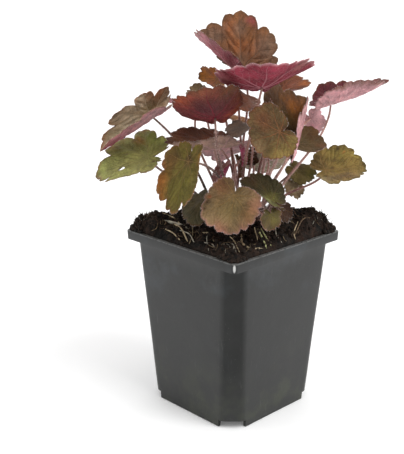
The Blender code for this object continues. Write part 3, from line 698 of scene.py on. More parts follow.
plastic, tree, shader = new_material("pot_plastic", 0.36, 0.4)
spot = object_place(tree)
body = use(tree, mottle, Color=PLASTIC_GREY, Vector=spot, Scale=38.0, Strength=0.5, Grain=0.3)
parted = tree.nodes.new("ShaderNodeSeparateXYZ")
feed(tree, parted.inputs[0], spot)
height = parted.outputs[2]
patchy = ramp(tree, noise(tree, spot, 60.0, 4.0), 0.42, 0.68)
algae = times(tree, ramp(tree, height, 0.004, 0.052, 1.0, 0.0), patchy)
colour = mixed(tree, times(tree, algae, 0.5), body["Color"], ALGAE_GREEN)
scuffs = noise(tree, stretched(tree, spot, (1.0, 1.0, 0.05)), 900.0, 2.0)
scuff = times(tree, ramp(tree, scuffs, 0.62, 0.75), ramp(tree, noise(tree, spot, 45.0), 0.5, 0.65))
colour = mixed(tree, times(tree, scuff, 0.35), colour, SCUFF_GREY)
dust = ramp(tree, cells(tree, spot, 900.0).outputs["Distance"], 0.05, 0.13, 1.0, 0.0)
dust = times(tree, dust, ramp(tree, noise(tree, spot, 70.0), 0.5, 0.62))
colour = mixed(tree, times(tree, dust, 0.6), colour, DUST_GREY)
chalky = times(tree, ramp(tree, noise(tree, spot, 24.0, 5.0, 0.65), 0.5, 0.68), ramp(tree, height, 0.02, 0.095))
colour = mixed(tree, times(tree, chalky, 0.4), colour, CHALK_GREY)
# painted highlight along the top edge of the rim, broken up by the scuffs' noise
rim_highlight = times(tree, ramp(tree, height, 0.1052, 0.1059), ramp(tree, scuffs, 0.3, 0.55))
colour = mixed(tree, times(tree, rim_highlight, 0.75), colour, RIM_HIGHLIGHT_GREY)
# painted glint: white in a small spot at the rim's near corner
glint = tree.nodes.new("ShaderNodeVectorMath")
glint.operation = "DISTANCE"
feed(tree, glint.inputs[0], stretched(tree, spot, GLINT_SQUASH))
glint.inputs[1].default_value = GLINT_PLACE * GLINT_SQUASH
colour = mixed(tree, ramp(tree, glint.outputs["Value"], 0.0006, 0.0011, 0.9, 0.0), colour, GLINT_WHITE)
feed(tree, shader.inputs["Base Color"], colour)
feed(tree, shader.inputs["Roughness"], ramp(tree, body["Cloud"], 0.3, 0.7, 0.30, 0.42))
skin = plus(tree, noise(tree, spot, 1500.0, 2.0), times(tree, noise(tree, spot, 90.0), 3.0))
feed(tree, shader.inputs["Normal"], bump(tree, skin, 0.0001, 0.35))
print("plastic nodes", len(tree.nodes))

# %% [markdown]
# Four round holes in the floor let the water out. They are the one thing on the pot that a loft can't give, so they
# are cut with Booleans, and the result becomes the pot's mesh before the next step.

# %% The pot and its drain holes
HOLE_PLACES = (-20.0, 20.0)
HOLE_RADIUS = 4.0
HOLE_SIDES = 28
DRILL_LENGTH = 8.0
SHARP_ANGLE = 32.0

pot = Shells()
pot.add(shell, [walls] + caps)
pot_piece = pot.make("pot_shell", [plastic], ("pot",), smooth=False)
drills = []
for x, y in itertools.product(HOLE_PLACES, repeat=2):
    bm = bmesh.new()
    bmesh.ops.create_cone(bm, cap_ends=True, segments=HOLE_SIDES, radius1=HOLE_RADIUS * MM,
                          radius2=HOLE_RADIUS * MM, depth=DRILL_LENGTH * MM)
    bmesh.ops.translate(bm, vec=(x * MM, y * MM, (FLOOR_UNDERSIDE + FLOOR_TOP) / 2.0 * MM), verts=bm.verts)
    drill_mesh = bpy.data.meshes.new("drill")
    bm.to_mesh(drill_mesh)
    bm.free()
    drill = bpy.data.objects.new("drill", drill_mesh)
    bpy.context.scene.collection.objects.link(drill)
    cut = pot_piece.modifiers.new("drain", "BOOLEAN")
    cut.operation = "DIFFERENCE"
    cut.solver = "EXACT"
    cut.object = drill
    drills.append(drill)
bpy.context.view_layer.update()
drilled = bpy.data.meshes.new_from_object(pot_piece.evaluated_get(bpy.context.evaluated_depsgraph_get()))
pot_piece.modifiers.clear()
pot_piece.data = drilled
drilled.shade_smooth()
drilled.set_sharp_from_angle(angle=math.radians(SHARP_ANGLE))
for drill in drills:
    bpy.data.objects.remove(drill, do_unlink=True)
print("pot faces", len(drilled.polygons))

# %% [markdown]
# ## The peat
# Young plants are potted in coarse peat: nearly black crumbs, red-brown fibres and straws, heaped towards the
# middle. Its solid is a lumpy block. Here the same heap becomes a fine grid, pushed up and down by lumps of four
# sizes, and closed down to the pot's floor inside its walls. Loose crumbs and fibres are then laid on it, because
# a height field alone can't overhang and looks like cloth.

# %% The heap
SOIL_EDGE_BELOW_RIM = 1.6
SOIL_MOUND = 9.0
SOIL_LUMP = 1.7
PEAT_CELLS = 176
PEAT_GAP = 0.35
CRUMB_LUMPS = ((7.0, 1.0, 11), (3.2, 1.0, 12), (1.5, 0.6, 13), (0.8, 0.3, 14))
# x, y, radius and height of the two places where the heap is higher
MOUNDS = ((-36.0, -36.0, 13.0, 4.5), (31.0, 31.0, 12.0, 6.5))


def soil_height(x, y):
    """The top of the peat, in millimetres above the base, heaped towards the middle."""
    edge = np.clip(np.maximum(np.abs(x), np.abs(y)) / RIM_HALF, 0.0, 1.0)
    heap = SOIL_MOUND * (1.0 - edge ** 5)
    uneven = (np.sin(x * 0.31 + 1.3) * np.cos(y * 0.27 + 0.4) + 0.6 * np.sin(x * 0.71 - y * 0.53)
              + 0.5 * np.cos(x * 0.23 + y * 0.93 + 2.0))
    return POT_HEIGHT - SOIL_EDGE_BELOW_RIM + heap + SOIL_LUMP * 0.6 * uneven * (0.35 + 0.65 * (1.0 - edge ** 4))


def crumbly(x, y):
    """The peat's top with its crumbs."""
    base = soil_height(x, y)
    spots = np.stack([x, y, np.zeros_like(x)], axis=-1)
    edge = np.clip(np.maximum(np.abs(x), np.abs(y)) / (RIM_HALF - 3.0), 0.0, 1.0)
    calm = 1.0 - 0.6 * edge ** 12
    for size, depth, seed in CRUMB_LUMPS:
        bumpy = lumps(spots, size, seed)
        base = base + depth * calm * (1.0 - 2.0 * np.abs(bumpy) if size < 4.0 else bumpy)
    inset = np.clip((RIM_HALF - 2.5 - np.maximum(np.abs(x), np.abs(y))) / 4.0, 0.0, 1.0)
    for mound_x, mound_y, radius, height in MOUNDS:
        away = ((x - mound_x) ** 2 + (y - mound_y) ** 2) / radius ** 2
        base = base + height * np.exp(-away * away) * inset
    return base - 0.25


def ground_at(x, y):
    return float(crumbly(np.array(x), np.array(y)))


def inside_pot(x, y, height):
    """Pulls a square grid of side 2 in to the pot's inner outline at that height."""
    half = body_half(height) - WALL - PEAT_GAP
    cut = INNER_CUT
    m = np.maximum(np.maximum(np.abs(x), np.abs(y)), 1e-9)
    limit = (2.0 * half - cut) / (half * (np.abs(x) + np.abs(y)) / m)
    pull = 1.0 + (np.minimum(limit, 1.0) - 1.0) * m ** 3
    return x * half * pull, y * half * pull


print("peat at the middle", round(ground_at(0.0, 0.0), 1), "mm high")

# %% [markdown]
# The grid is square, and a function pulls its corners in to the pot's cut corners. Its border then runs down the
# walls in four steps and closes at the floor, so that the heap is a solid body and not a sheet.

# %% The heap's grid
line = np.linspace(-1.0, 1.0, PEAT_CELLS + 1)
gx, gy = np.meshgrid(line, line)
px, py = inside_pot(gx, gy, POT_HEIGHT)
top = np.stack([px, py, crumbly(px, py)], axis=-1).reshape(-1, 3)
side = PEAT_CELLS + 1
index = np.arange(side * side).reshape(side, side)
top_faces = np.stack([index[:-1, :-1], index[:-1, 1:], index[1:, 1:], index[1:, :-1]], axis=-1).reshape(-1, 4)
rim = np.concatenate([index[0, :-1], index[:-1, -1], index[-1, :0:-1], index[:0:-1, 0]])
levels = (90.0, 60.0, 30.0, FLOOR_TOP + PEAT_GAP)
wall_rows = [top[rim]]
for level in levels:
    sx, sy = inside_pot(gx.reshape(-1)[rim], gy.reshape(-1)[rim], level)
    wall_rows.append(np.stack([sx, sy, np.full(len(rim), level)], axis=-1))
around = len(rim)
wall_points = np.vstack(wall_rows[1:])
wall_index = np.vstack([rim] + [side * side + np.arange(around) + row * around for row in range(len(levels))])
wall_faces = np.stack([wall_index[:-1], wall_index[1:], np.roll(wall_index[1:], -1, 1),
                       np.roll(wall_index[:-1], -1, 1)], axis=-1).reshape(-1, 4)
heap_points = np.vstack([top, wall_points])
print("peat top", round(float(top[:, 2].max()), 1), "mm, points", len(heap_points))

# %% [markdown]
# Peat is nearly black where it is wet and red-brown where it has dried. The points carry that split in patches, and
# the material adds clumps, threads and grain. It is almost fully matt.

# %% Peat finish
PEAT_BLACK = np.array((0.007, 0.006, 0.005))
PEAT_BROWN = np.array((0.026, 0.016, 0.011))
PEAT_RED = np.array((0.034, 0.018, 0.012))
FIBRE_BROWN = (0.05, 0.032, 0.022, 1.0)

peat, tree, shader = new_material("peat_crumb", 0.95, 0.25)
spot = object_place(tree)
threads = noise(tree, stretched(tree, spot, (1.0, 0.25, 1.0)), 1500.0, 3.0)
fibre_mask = times(tree, ramp(tree, threads, 0.6, 0.72), 0.6)
feed(tree, shader.inputs["Base Color"], mixed(tree, fibre_mask, tinted(tree, 420.0, 0.9, 0.9), FIBRE_BROWN))
clods = plus(tree, noise(tree, spot, 1400.0, 4.0), cells(tree, spot, 900.0).outputs["Distance"])
feed(tree, shader.inputs["Normal"], bump(tree, clods, 0.0007, 0.9))


def peat_tint(points, seed=0):
    wet = np.clip(0.5 + 0.9 * lumps(points, 5.0, 21 + seed) + 0.5 * lumps(points, 1.4, 22 + seed), 0, 1)[:, None]
    red = np.clip(lumps(points, 9.0, 23 + seed) * 1.6 - 0.3, 0, 1)[:, None]
    brown = PEAT_BROWN * (1 - red) + PEAT_RED * red
    return PEAT_BLACK * wet + brown * (1 - wet)


print("peat nodes", len(tree.nodes))

# %% [markdown]
# A crumb is a small ball with lumps pushed into it. Most are tiny and a few reach three millimetres. Others have
# spilled on to the flat land in the four corners of the rim. All are shells in the heap's own mesh.

# %% Crumbs on the heap
CRUMB_COUNT = 900
SPILL_COUNT = 260
SPILL_FROM = 3.6
SPILL_TO = 10.4
CORNER_LAND = 1.9
CRUMB_ROUGHNESS = 0.35
CRUMB_GRAIN = 0.8

chance = np.random.default_rng(40291)
ball = bmesh.new()
bmesh.ops.create_icosphere(ball, subdivisions=1, radius=1.0)
ball_points = np.array([vert.co for vert in ball.verts])
ball_faces = np.array([[vert.index for vert in face.verts] for face in ball.faces])
ball.free()
heap = Shells()


def add_crumb(spot, size, stretch, shift, seed, shade):
    lumpy = 1.0 + CRUMB_ROUGHNESS * lumps(ball_points + shift, CRUMB_GRAIN, seed)
    heap.add(ball_points * lumpy[:, None] * stretch * size + spot, [ball_faces], tint=shade)


heap.add(heap_points, [top_faces, wall_faces, wall_index[-1][None]], tint=peat_tint(heap_points))
for number in range(CRUMB_COUNT):
    x, y = inside_pot(*chance.uniform(-0.97, 0.97, 2), POT_HEIGHT)
    size = 0.45 + 1.25 * chance.random() ** 2.5
    stretch = chance.uniform(0.6, 1.25, 3)
    spot = np.array((x, y, ground_at(x, y) + size * 0.25))
    shade = peat_tint(spot[None] * 3.0 + number, 5)[0] * chance.uniform(0.7, 1.8)
    add_crumb(spot, size, stretch, number * 3.1, 31, shade)
for corner_x, corner_y in itertools.product((-1.0, 1.0), repeat=2):
    for number in range(SPILL_COUNT):
        inward = chance.uniform(SPILL_FROM, SPILL_TO)
        sideways = chance.uniform(-1.0, 1.0) * (inward - CORNER_LAND)
        x = corner_x * (RIM_HALF - (inward + sideways) / math.sqrt(2.0))
        y = corner_y * (RIM_HALF - (inward - sideways) / math.sqrt(2.0))
        size = chance.uniform(0.45, 0.85) + 0.8 * chance.random() ** 4
        lift = size * chance.uniform(0.1, 0.7) + 0.1 * (inward - SPILL_FROM)
        spot = np.array((x, y, max(POT_HEIGHT, ground_at(x, y)) + lift))
        stretch = chance.uniform(0.7, 1.2, 3)
        shade = peat_tint(spot[None] * 2.0 + number, 6)[0] * chance.uniform(0.7, 1.6)
        add_crumb(spot, size, stretch, number * 1.7, 32, shade)
heap.make("peat_heap", [peat], ("soil",))
print("peat faces", len(heap.faces))

# %% [markdown]
# Fine roots and bark fibres stick out of the heap everywhere, most of them dark. Hundreds of thin bent threads
# break its outline, as they do along the skyline of the real heap.

# %% Fibres
FIBRE_COUNT = 900
FIBRE_LENGTHS = (2.0, 9.0)
FIBRE_RADII = (0.09, 0.24)
FIBRE_LIMIT = RIM_HALF - 2.2
PALE_EVERY = 5
PALE_FIBRE = np.array((0.26, 0.19, 0.11))
REDDER = np.array((0.02, 0.008, 0.004))
FIBRE_PROFILE = np.array((0.4, 1, 1, 1, 0.9, 0.3))

fibres = Shells()
step = np.linspace(-0.5, 0.5, len(FIBRE_PROFILE))
for number in range(FIBRE_COUNT):
    x, y = inside_pot(*chance.uniform(-0.96, 0.96, 2), POT_HEIGHT)
    heading = chance.uniform(0.0, 2.0 * np.pi)
    length = chance.uniform(*FIBRE_LENGTHS)
    lift = chance.uniform(-0.1, 0.6)
    bend = chance.uniform(-1.4, 1.4)
    run = np.stack([np.cos(heading + bend * step) * step * length, np.sin(heading + bend * step) * step * length],
                   axis=-1)
    fx, fy = x + run[:, 0], y + run[:, 1]
    fx, fy = np.clip(fx, -FIBRE_LIMIT, FIBRE_LIMIT), np.clip(fy, -FIBRE_LIMIT, FIBRE_LIMIT)
    ground = crumbly(fx, fy)
    z = np.maximum(ground, ground.mean()) + 0.1 + lift * (0.5 - np.abs(step)) * length * 0.9
    radius = chance.uniform(*FIBRE_RADII)
    points, faces, _ = tube(np.stack([fx, fy, z], axis=-1), radius * FIBRE_PROFILE, 3)
    shade = PEAT_BROWN * chance.uniform(0.5, 2.4) + REDDER * chance.random()
    if number % PALE_EVERY == 0:
        shade = PALE_FIBRE * chance.uniform(0.5, 1.2)
    fibres.add(points, faces, tint=shade)
fibres.make("peat_fibres", [peat])
print("fibre faces", len(fibres.faces))

# %% [markdown]
# ## Dry stalks and straws
# Old flower stalks, straws and a pale root lie on the peat. Four of them are solids and keep their places. Each
# gets a rounded path, an uneven thickness and frayed ends. They share one dry, dull finish with the loose straws.

# %% Straw finish and the four stalks
STRAW = np.array((0.50, 0.40, 0.25))
STRAW_GREEN = np.array((0.46, 0.47, 0.22))
STRAW_GREY = np.array((0.44, 0.41, 0.33))
BARK = np.array((0.13, 0.085, 0.05))
STALK_LIFT = 0.25
FRAYS = 4

dry, tree, shader = new_material("dry_straw", 0.78, 0.3)
spot = object_place(tree)
feed(tree, shader.inputs["Base Color"], tinted(tree, 330.0, 0.7, 0.5))
strands = noise(tree, stretched(tree, spot, (1.0, 0.3, 1.0)), 2200.0, 3.0)
feed(tree, shader.inputs["Normal"], bump(tree, strands, 0.0002, 0.8))

STALKS = (
    ("stalk_left", 0.9, ((-28.8, -31.8), (-19.3, -30.9), (-10.0, -30.0), (-2.0, -32.5)), STRAW_GREY),
    ("stalk_across", 0.8, ((-24.0, -14.0), (-16.9, -20.4), (-7.0, -25.5)), STRAW),
    ("stalk_front", 0.8, ((24.0, -6.0), (29.0, -9.5), (34.5, -12.5), (39.5, -14.5)), STRAW_GREEN),
    ("root_curl", 0.55, ((24.8, -18.5), (30.0, -24.2), (35.5, -27.3), (39.5, -25.3), (40.5, -20.5)), STRAW),
)
for name, radius, places, colour in STALKS:
    ground = [(x, y, float(soil_height(x, y)) + radius * STALK_LIFT) for x, y in places]
    path = smooth_path(ground, 9)
    swell = 1.0 + 0.16 * lumps(path, 4.0, 41)
    swell[0] *= 0.6
    swell[-1] *= 0.55
    piece = Shells()
    points, faces, _ = tube(path, radius * 0.96 * swell, 10)
    points = points + 0.12 * lumps(points, 1.2, 42)[:, None]
    piece.add(points, faces, tint=colour * (1.0 + 0.35 * lumps(points, 3.0, 43))[:, None])
    for end, inner in ((path[0], path[2]), (path[-1], path[-3])):
        outward = unit(end - inner)
        for _ in range(FRAYS):
            lean = unit(outward + chance.uniform(-0.45, 0.45, 3) * (1, 1, 0.4))
            splinter = [end - outward * 0.5, end + lean * 0.5, end + lean * chance.uniform(0.9, 1.7)]
            points, faces, _ = tube(splinter, np.array((0.3, 0.22, 0.06)) * radius, 4)
            piece.add(points, faces, tint=colour * chance.uniform(0.7, 1.2))
    piece.make(name + "_fine", [dry], (name,))
print("stalks", len(STALKS))

# %% [markdown]
# Thinner straws lie loose over the heap, and short bristly tufts stand in the corners, where watering has washed
# the fine peat away. They are too thin for solids, so they are only here, as shells of one piece.

# %% Loose straws
# three places, radius, colour, and how far the middle rises
LOOSE = (
    ((23.0, -2.5), (31.0, -8.0), (40.2, -11.0), 0.45, STRAW_GREEN, 0.6),
    ((22.0, -4.0), (28.0, -11.5), (36.5, -18.0), 0.35, STRAW, 1.0),
    ((-31.0, -28.5), (-22.0, -26.5), (-13.0, -29.0), 0.4, STRAW, 0.8),
    ((-15.0, -33.0), (-6.0, -35.5), (3.0, -39.0), 0.45, STRAW, 0.7),
    ((-9.0, -36.0), (1.0, -36.5), (9.0, -40.0), 0.3, STRAW_GREY, 0.6),
    ((6.0, -32.0), (13.0, -31.0), (19.0, -34.5), 0.4, STRAW, 0.9),
    ((15.0, -38.0), (19.0, -36.0), (24.0, -38.5), 0.35, STRAW_GREY, 1.0),
    ((27.0, -36.0), (32.0, -33.0), (36.0, -36.0), 0.3, STRAW_GREY, 0.7),
    ((-36.0, -24.0), (-33.0, -30.0), (-35.0, -37.0), 0.3, STRAW_GREY, 1.4),
    ((-20.0, -37.0), (-10.0, -38.5), (-1.0, -41.0), 0.35, STRAW, 1.0),
    ((-3.0, -30.0), (3.0, -35.5), (6.0, -41.0), 0.3, STRAW, 1.2),
    ((12.0, -28.0), (14.0, -35.0), (21.0, -40.5), 0.3, STRAW_GREY, 1.1),
    ((24.0, -28.0), (31.0, -31.0), (38.0, -34.0), 0.28, STRAW, 0.8),
    ((30.0, 4.0), (35.0, -1.0), (41.0, -3.0), 0.32, STRAW_GREY, 0.9),
    ((33.0, 20.0), (37.0, 12.0), (41.5, 8.0), 0.3, STRAW, 0.9),
    ((39.0, 10.0), (36.0, 22.0), (39.0, 33.0), 0.35, BARK, 0.8),
    ((28.0, 36.0), (34.0, 39.0), (40.0, 36.0), 0.4, STRAW_GREY, 0.8),
    ((-30.0, 20.0), (-22.0, 28.0), (-12.0, 30.0), 0.4, STRAW, 0.7),
    ((-8.0, 36.0), (2.0, 33.0), (12.0, 38.0), 0.35, STRAW_GREY, 0.7),
    ((-38.0, 2.0), (-33.0, 8.0), (-36.0, 16.0), 0.3, BARK, 0.8),
)
# x, y and number of bristles
TUFTS = ((-39.5, -37.5, 46), (-36.0, -40.0, 30), (-40.0, -31.0, 24), (38.0, 38.0, 40), (35.0, -38.0, 20),
         (41.0, 28.0, 8), (24.0, 40.0, 8), (-38.0, 36.0, 8))
TUFT_SPREAD = (2.2, 3.5, 0.0)
BRISTLE_LENGTHS = (1.5, 5.0)
BRISTLE_RADII = np.array((0.2, 0.16, 0.06))

loose = Shells()
for *places, radius, colour, rise in LOOSE:
    ground = [(x, y, ground_at(x, y) + radius + rise * 0.3 * (k % 2)) for k, (x, y) in enumerate(places)]
    path = smooth_path(ground, 8)
    taper = np.interp(np.linspace(0, 1, len(path)), (0, 0.1, 0.9, 1), (0.4, 1, 1, 0.3))
    points, faces, _ = tube(path, radius * taper, 6)
    loose.add(points, faces, tint=colour * (1.0 + 0.3 * lumps(points, 2.5, 44))[:, None])
for x, y, count in TUFTS:
    for number in range(count):
        root = np.array((x, y, 0.0)) + chance.uniform(-1.0, 1.0, 3) * TUFT_SPREAD
        root[:2] = np.clip(root[:2], 2.4 - RIM_HALF, RIM_HALF - 2.4)
        root[2] = ground_at(root[0], root[1]) - 0.4
        lean = unit(np.array((chance.uniform(-1, 1), chance.uniform(-1, 1), chance.uniform(0.3, 1.5))))
        length = chance.uniform(*BRISTLE_LENGTHS)
        sag = chance.uniform(-0.6, 0.6, 3) * (1, 1, 0.3)
        path = [root, root + lean * length * 0.5 + sag * 0.3, root + lean * length + sag]
        path = [np.array((*np.clip(place[:2], 1.2 - RIM_HALF, RIM_HALF - 1.2), place[2])) for place in path]
        points, faces, _ = tube(path, BRISTLE_RADII, 3)
        loose.add(points, faces, tint=(BARK * 0.45 if number % 4 else STRAW_GREY) * chance.uniform(0.4, 1.1))
loose.make("loose_straws", [dry])
print("straw faces", len(loose.faces))

# %% [markdown]
# ## The crown
# The leaf stalks rise from a short woody crown, a cluster of knobs wrapped in brown papery scales. It sits low
# among the stalks, so only its top shows. The solid's three knobs are made again as lumpy balls, with scales
# that stand round them.

# %% Crown
CROWN_KNOBS = ((2.0, 4.0, 9.5, 0.0), (12.0, 11.0, 8.5, 1.0), (-5.0, -7.0, 8.0, 1.0))
CROWN_TOP = 117.0
CROWN_DEPTH = 15.0
CROWN_BROWN = np.array((0.075, 0.038, 0.022))
SCALE_BROWN = np.array((0.16, 0.085, 0.045))
SCALES_PER_KNOB = 16
SCALE_LENGTHS = (3.0, 6.0)
SCALE_HALF_WIDTHS = (0.7, 1.3)
SCALE_STEPS = 7
KNOB_RINGS = 22
KNOB_COLUMNS = 40

scaly, tree, shader = new_material("crown_bark", 0.85, 0.3)
spot = object_place(tree)
feed(tree, shader.inputs["Base Color"], tinted(tree, 260.0, 0.8, 0.6))
ridges = noise(tree, stretched(tree, spot, (1.0, 1.0, 0.3)), 900.0, 4.0)
feed(tree, shader.inputs["Normal"], bump(tree, ridges, 0.0006, 0.9))

crown = Shells()
turn = np.linspace(0, 2 * np.pi, KNOB_COLUMNS, endpoint=False)
tilt = np.linspace(0.08, np.pi - 0.08, KNOB_RINGS)
for x, y, radius, lower in CROWN_KNOBS:
    ball = np.stack([np.sin(tilt)[:, None] * np.cos(turn), np.sin(tilt)[:, None] * np.sin(turn),
                     np.broadcast_to(np.cos(tilt)[:, None], (KNOB_RINGS, KNOB_COLUMNS))], axis=-1)
    half = CROWN_DEPTH / 2.0
    middle = np.array((x, y, CROWN_TOP - half - lower))
    swell = 1.0 + 0.05 * lumps(ball * radius + middle, 3.0, 51) + 0.03 * lumps(ball * radius + middle, 1.2, 52)
    points = (ball * swell[..., None] * (radius - 0.3, radius - 0.3, half - 0.3) + middle).reshape(-1, 3)
    ends = np.arange(KNOB_COLUMNS)
    caps = [ends[::-1][None], ((KNOB_RINGS - 1) * KNOB_COLUMNS + ends)[None]]
    crown.add(points, [ring_grid(KNOB_RINGS, KNOB_COLUMNS)] + caps,
              tint=CROWN_BROWN * (1 + 0.5 * lumps(points, 2.0, 53))[:, None])
    for number in range(SCALES_PER_KNOB):
        way = 2 * np.pi * number / SCALES_PER_KNOB + chance.uniform(-0.2, 0.2)
        out = np.array((math.cos(way), math.sin(way), 0.0))
        start = middle + out * radius * chance.uniform(0.5, 0.8) + (0, 0, half * 0.55)
        length, wide = chance.uniform(*SCALE_LENGTHS), chance.uniform(*SCALE_HALF_WIDTHS)
        lean = unit(out * chance.uniform(-0.1, 0.5) + (0, 0, 1))
        across = np.cross(lean, out)
        share = np.linspace(0, 1, SCALE_STEPS)
        spine = start + lean * length * share[:, None] - out * 0.8 * (share ** 2)[:, None]
        breadth = wide * np.sin(np.pi * (0.15 + 0.85 * share)) ** 0.7
        ring = [spine + across * breadth[:, None], spine + out * 0.22, spine - across * breadth[:, None],
                spine - out * 0.05]
        flake = np.stack(ring, axis=1).reshape(-1, 3)
        caps = [np.array([[3, 2, 1, 0]]), (np.arange(4) + (SCALE_STEPS - 1) * 4)[None]]
        crown.add(flake, [ring_grid(SCALE_STEPS, 4)] + caps, tint=SCALE_BROWN * chance.uniform(0.5, 1.4))
crown.make("crown_knobs", [scaly], ("crown",))
print("crown faces", len(crown.faces))

# %% [markdown]
# ## Where the leaves sit and how they bend
# The table repeats the solids' own leaf table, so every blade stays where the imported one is. A blade is a disc in
# polar form: an angle from its tip and a share of the way out. Its margin is the distance at each angle. Walking
# along a strip that turns as it goes folds the halves up, curls them and droops the tip.


# %% Leaf table
class Leaf:
    """One leaf: where the stalk meets the blade, where the tip points, and how the blade is bent."""

    def __init__(self, name, base, heading, rise, roll, reach, fold=(8, 8), curl=(0, 0), droop=(12, 8),
                 broad=1.0, lobes=0.12, stretch=(1, 1, 1, 1, 1, 1, 1), ripple=0.8, foot=None, sway=(0, 0),
                 tint="bronze"):
        self.name, self.base = name, np.array(base, float)
        self.heading, self.rise, self.roll, self.reach = heading, rise, roll, reach
        self.fold, self.curl, self.droop = fold, curl, droop
        self.broad, self.lobes, self.stretch, self.ripple = broad, lobes, stretch, ripple
        self.foot, self.sway, self.tint = foot, sway, tint


